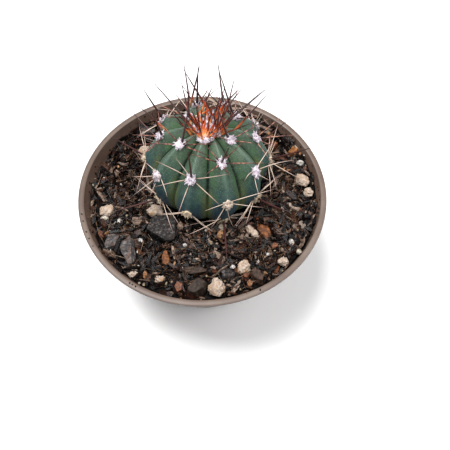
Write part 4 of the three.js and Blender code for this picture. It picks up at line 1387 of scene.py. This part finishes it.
def make_stage():
    bm = bmesh.new()
    bmesh.ops.create_grid(bm, x_segments=1, y_segments=1, size=3)
    ground = new_object("pale_floor", mesh_of(bm, "pale_floor"))
    material, tree, shader, place = new_material("matt_white_paper", Roughness=0.95)
    cloud = add(tree, "TexNoise", [place, 2.0, 1.0])
    paper = add(tree, "ValToRGB", [cloud], [(0.2, "#F6F6F6"), (0.8, "#F9F9F9")])
    tree.links.new(paper.outputs[0], shader.inputs["Base Color"])
    ground.data.materials.append(material)
    camera = new_object("camera", bpy.data.cameras.new("camera"))
    camera.data.sensor_width = 36
    camera.data.lens = CAMERA_LENS
    camera.data.clip_start = 0.01
    camera.location = CAMERA_PLACE
    camera.rotation_euler = [radians(a) for a in CAMERA_TURN]
    bpy.context.scene.camera = camera
    for name, (place, power, size) in LIGHTS.items():
        light = new_object(name, bpy.data.lights.new(name, "AREA"))
        light.data.energy = power
        light.data.size = size
        light.location = place
        light.rotation_euler = Vector(place).to_track_quat("Z", "Y").to_euler()
    world = bpy.data.worlds.new("soft_studio")
    world.use_nodes = True
    sky = world.node_tree.nodes["Background"]
    sky.inputs["Color"].default_value = SKY_COLOUR
    sky.inputs["Strength"].default_value = SKY_STRENGTH
    bpy.context.scene.world = world
    bpy.context.scene.view_settings.view_transform = "Standard"


make_stage()
make_pot()
make_body()
areoles = list_areoles()
draw_spines = make_random(SEED)
all_spines = [s for areole in areoles for s in areole_spines(areole, draw_spines)]
crown_draws = [draw_spines, make_random(SEED + 3), make_random(SEED + 5)]
for crown_draw, crown_round in zip(crown_draws, CROWN_ROUNDS):
    all_spines += crown_spines(crown_draw, *crown_round)
all_spines += crown_fan()
make_spines(all_spines)
make_wool(areoles)
make_bed()
make_litter()
# Each grain's fourth colour is the painted shade in its pits
pumice_look = mineral_material(
    "weathered_pumice",
    [(0.25, "#7A685A"), (0.45, "#A08E7F"), (0.6, "#B8A798"), (0.8, "#D6CABD")],
    "#A0733F", "#54463A", 0.9,
)
lava_look = mineral_material(
    "dark_lava_grit",
    [(0.36, "#0D0B0B"), (0.47, "#1A1817"), (0.55, "#34302F"), (0.66, "#6C6664")],
    "#4A3024", "#0A0808", 0.45,
)
grey_look = mineral_material(
    "grey_stone_grit",
    [(0.34, "#1C1A19"), (0.46, "#383534"), (0.57, "#5A5554"), (0.68, "#928C89")],
    "#6A4836", "#161312", 0.45,
)
chip_look = litter_material("pine_bark_chips", CHIP_TONES, 0.5)
make_loose("pumice", [pumice_look], cuts=4, rough=0.8, fine=0.42, rounding=0.25,
           tones=[1.0, 0.5, 0.3, 0.9, 1.0, 0.4, 0.1, 0.3, 0.0, 0.0, 0.8])
make_loose("bark", [chip_look], cuts=4, rough=0.3, fine=0.22, rounding=0.04, splits=5,
           depth=0.45, tones=[0.85, 0.3, 0.4, 0.88, 1.0, 0.45, 0.8])
make_loose("stone", [grey_look, grey_look, lava_look, lava_look, grey_look], cuts=5, rough=0.3,
           fine=0.22, splits=7, depth=0.6, tones=[0.3, 0.35, 0.2, 0.3, 0.4])
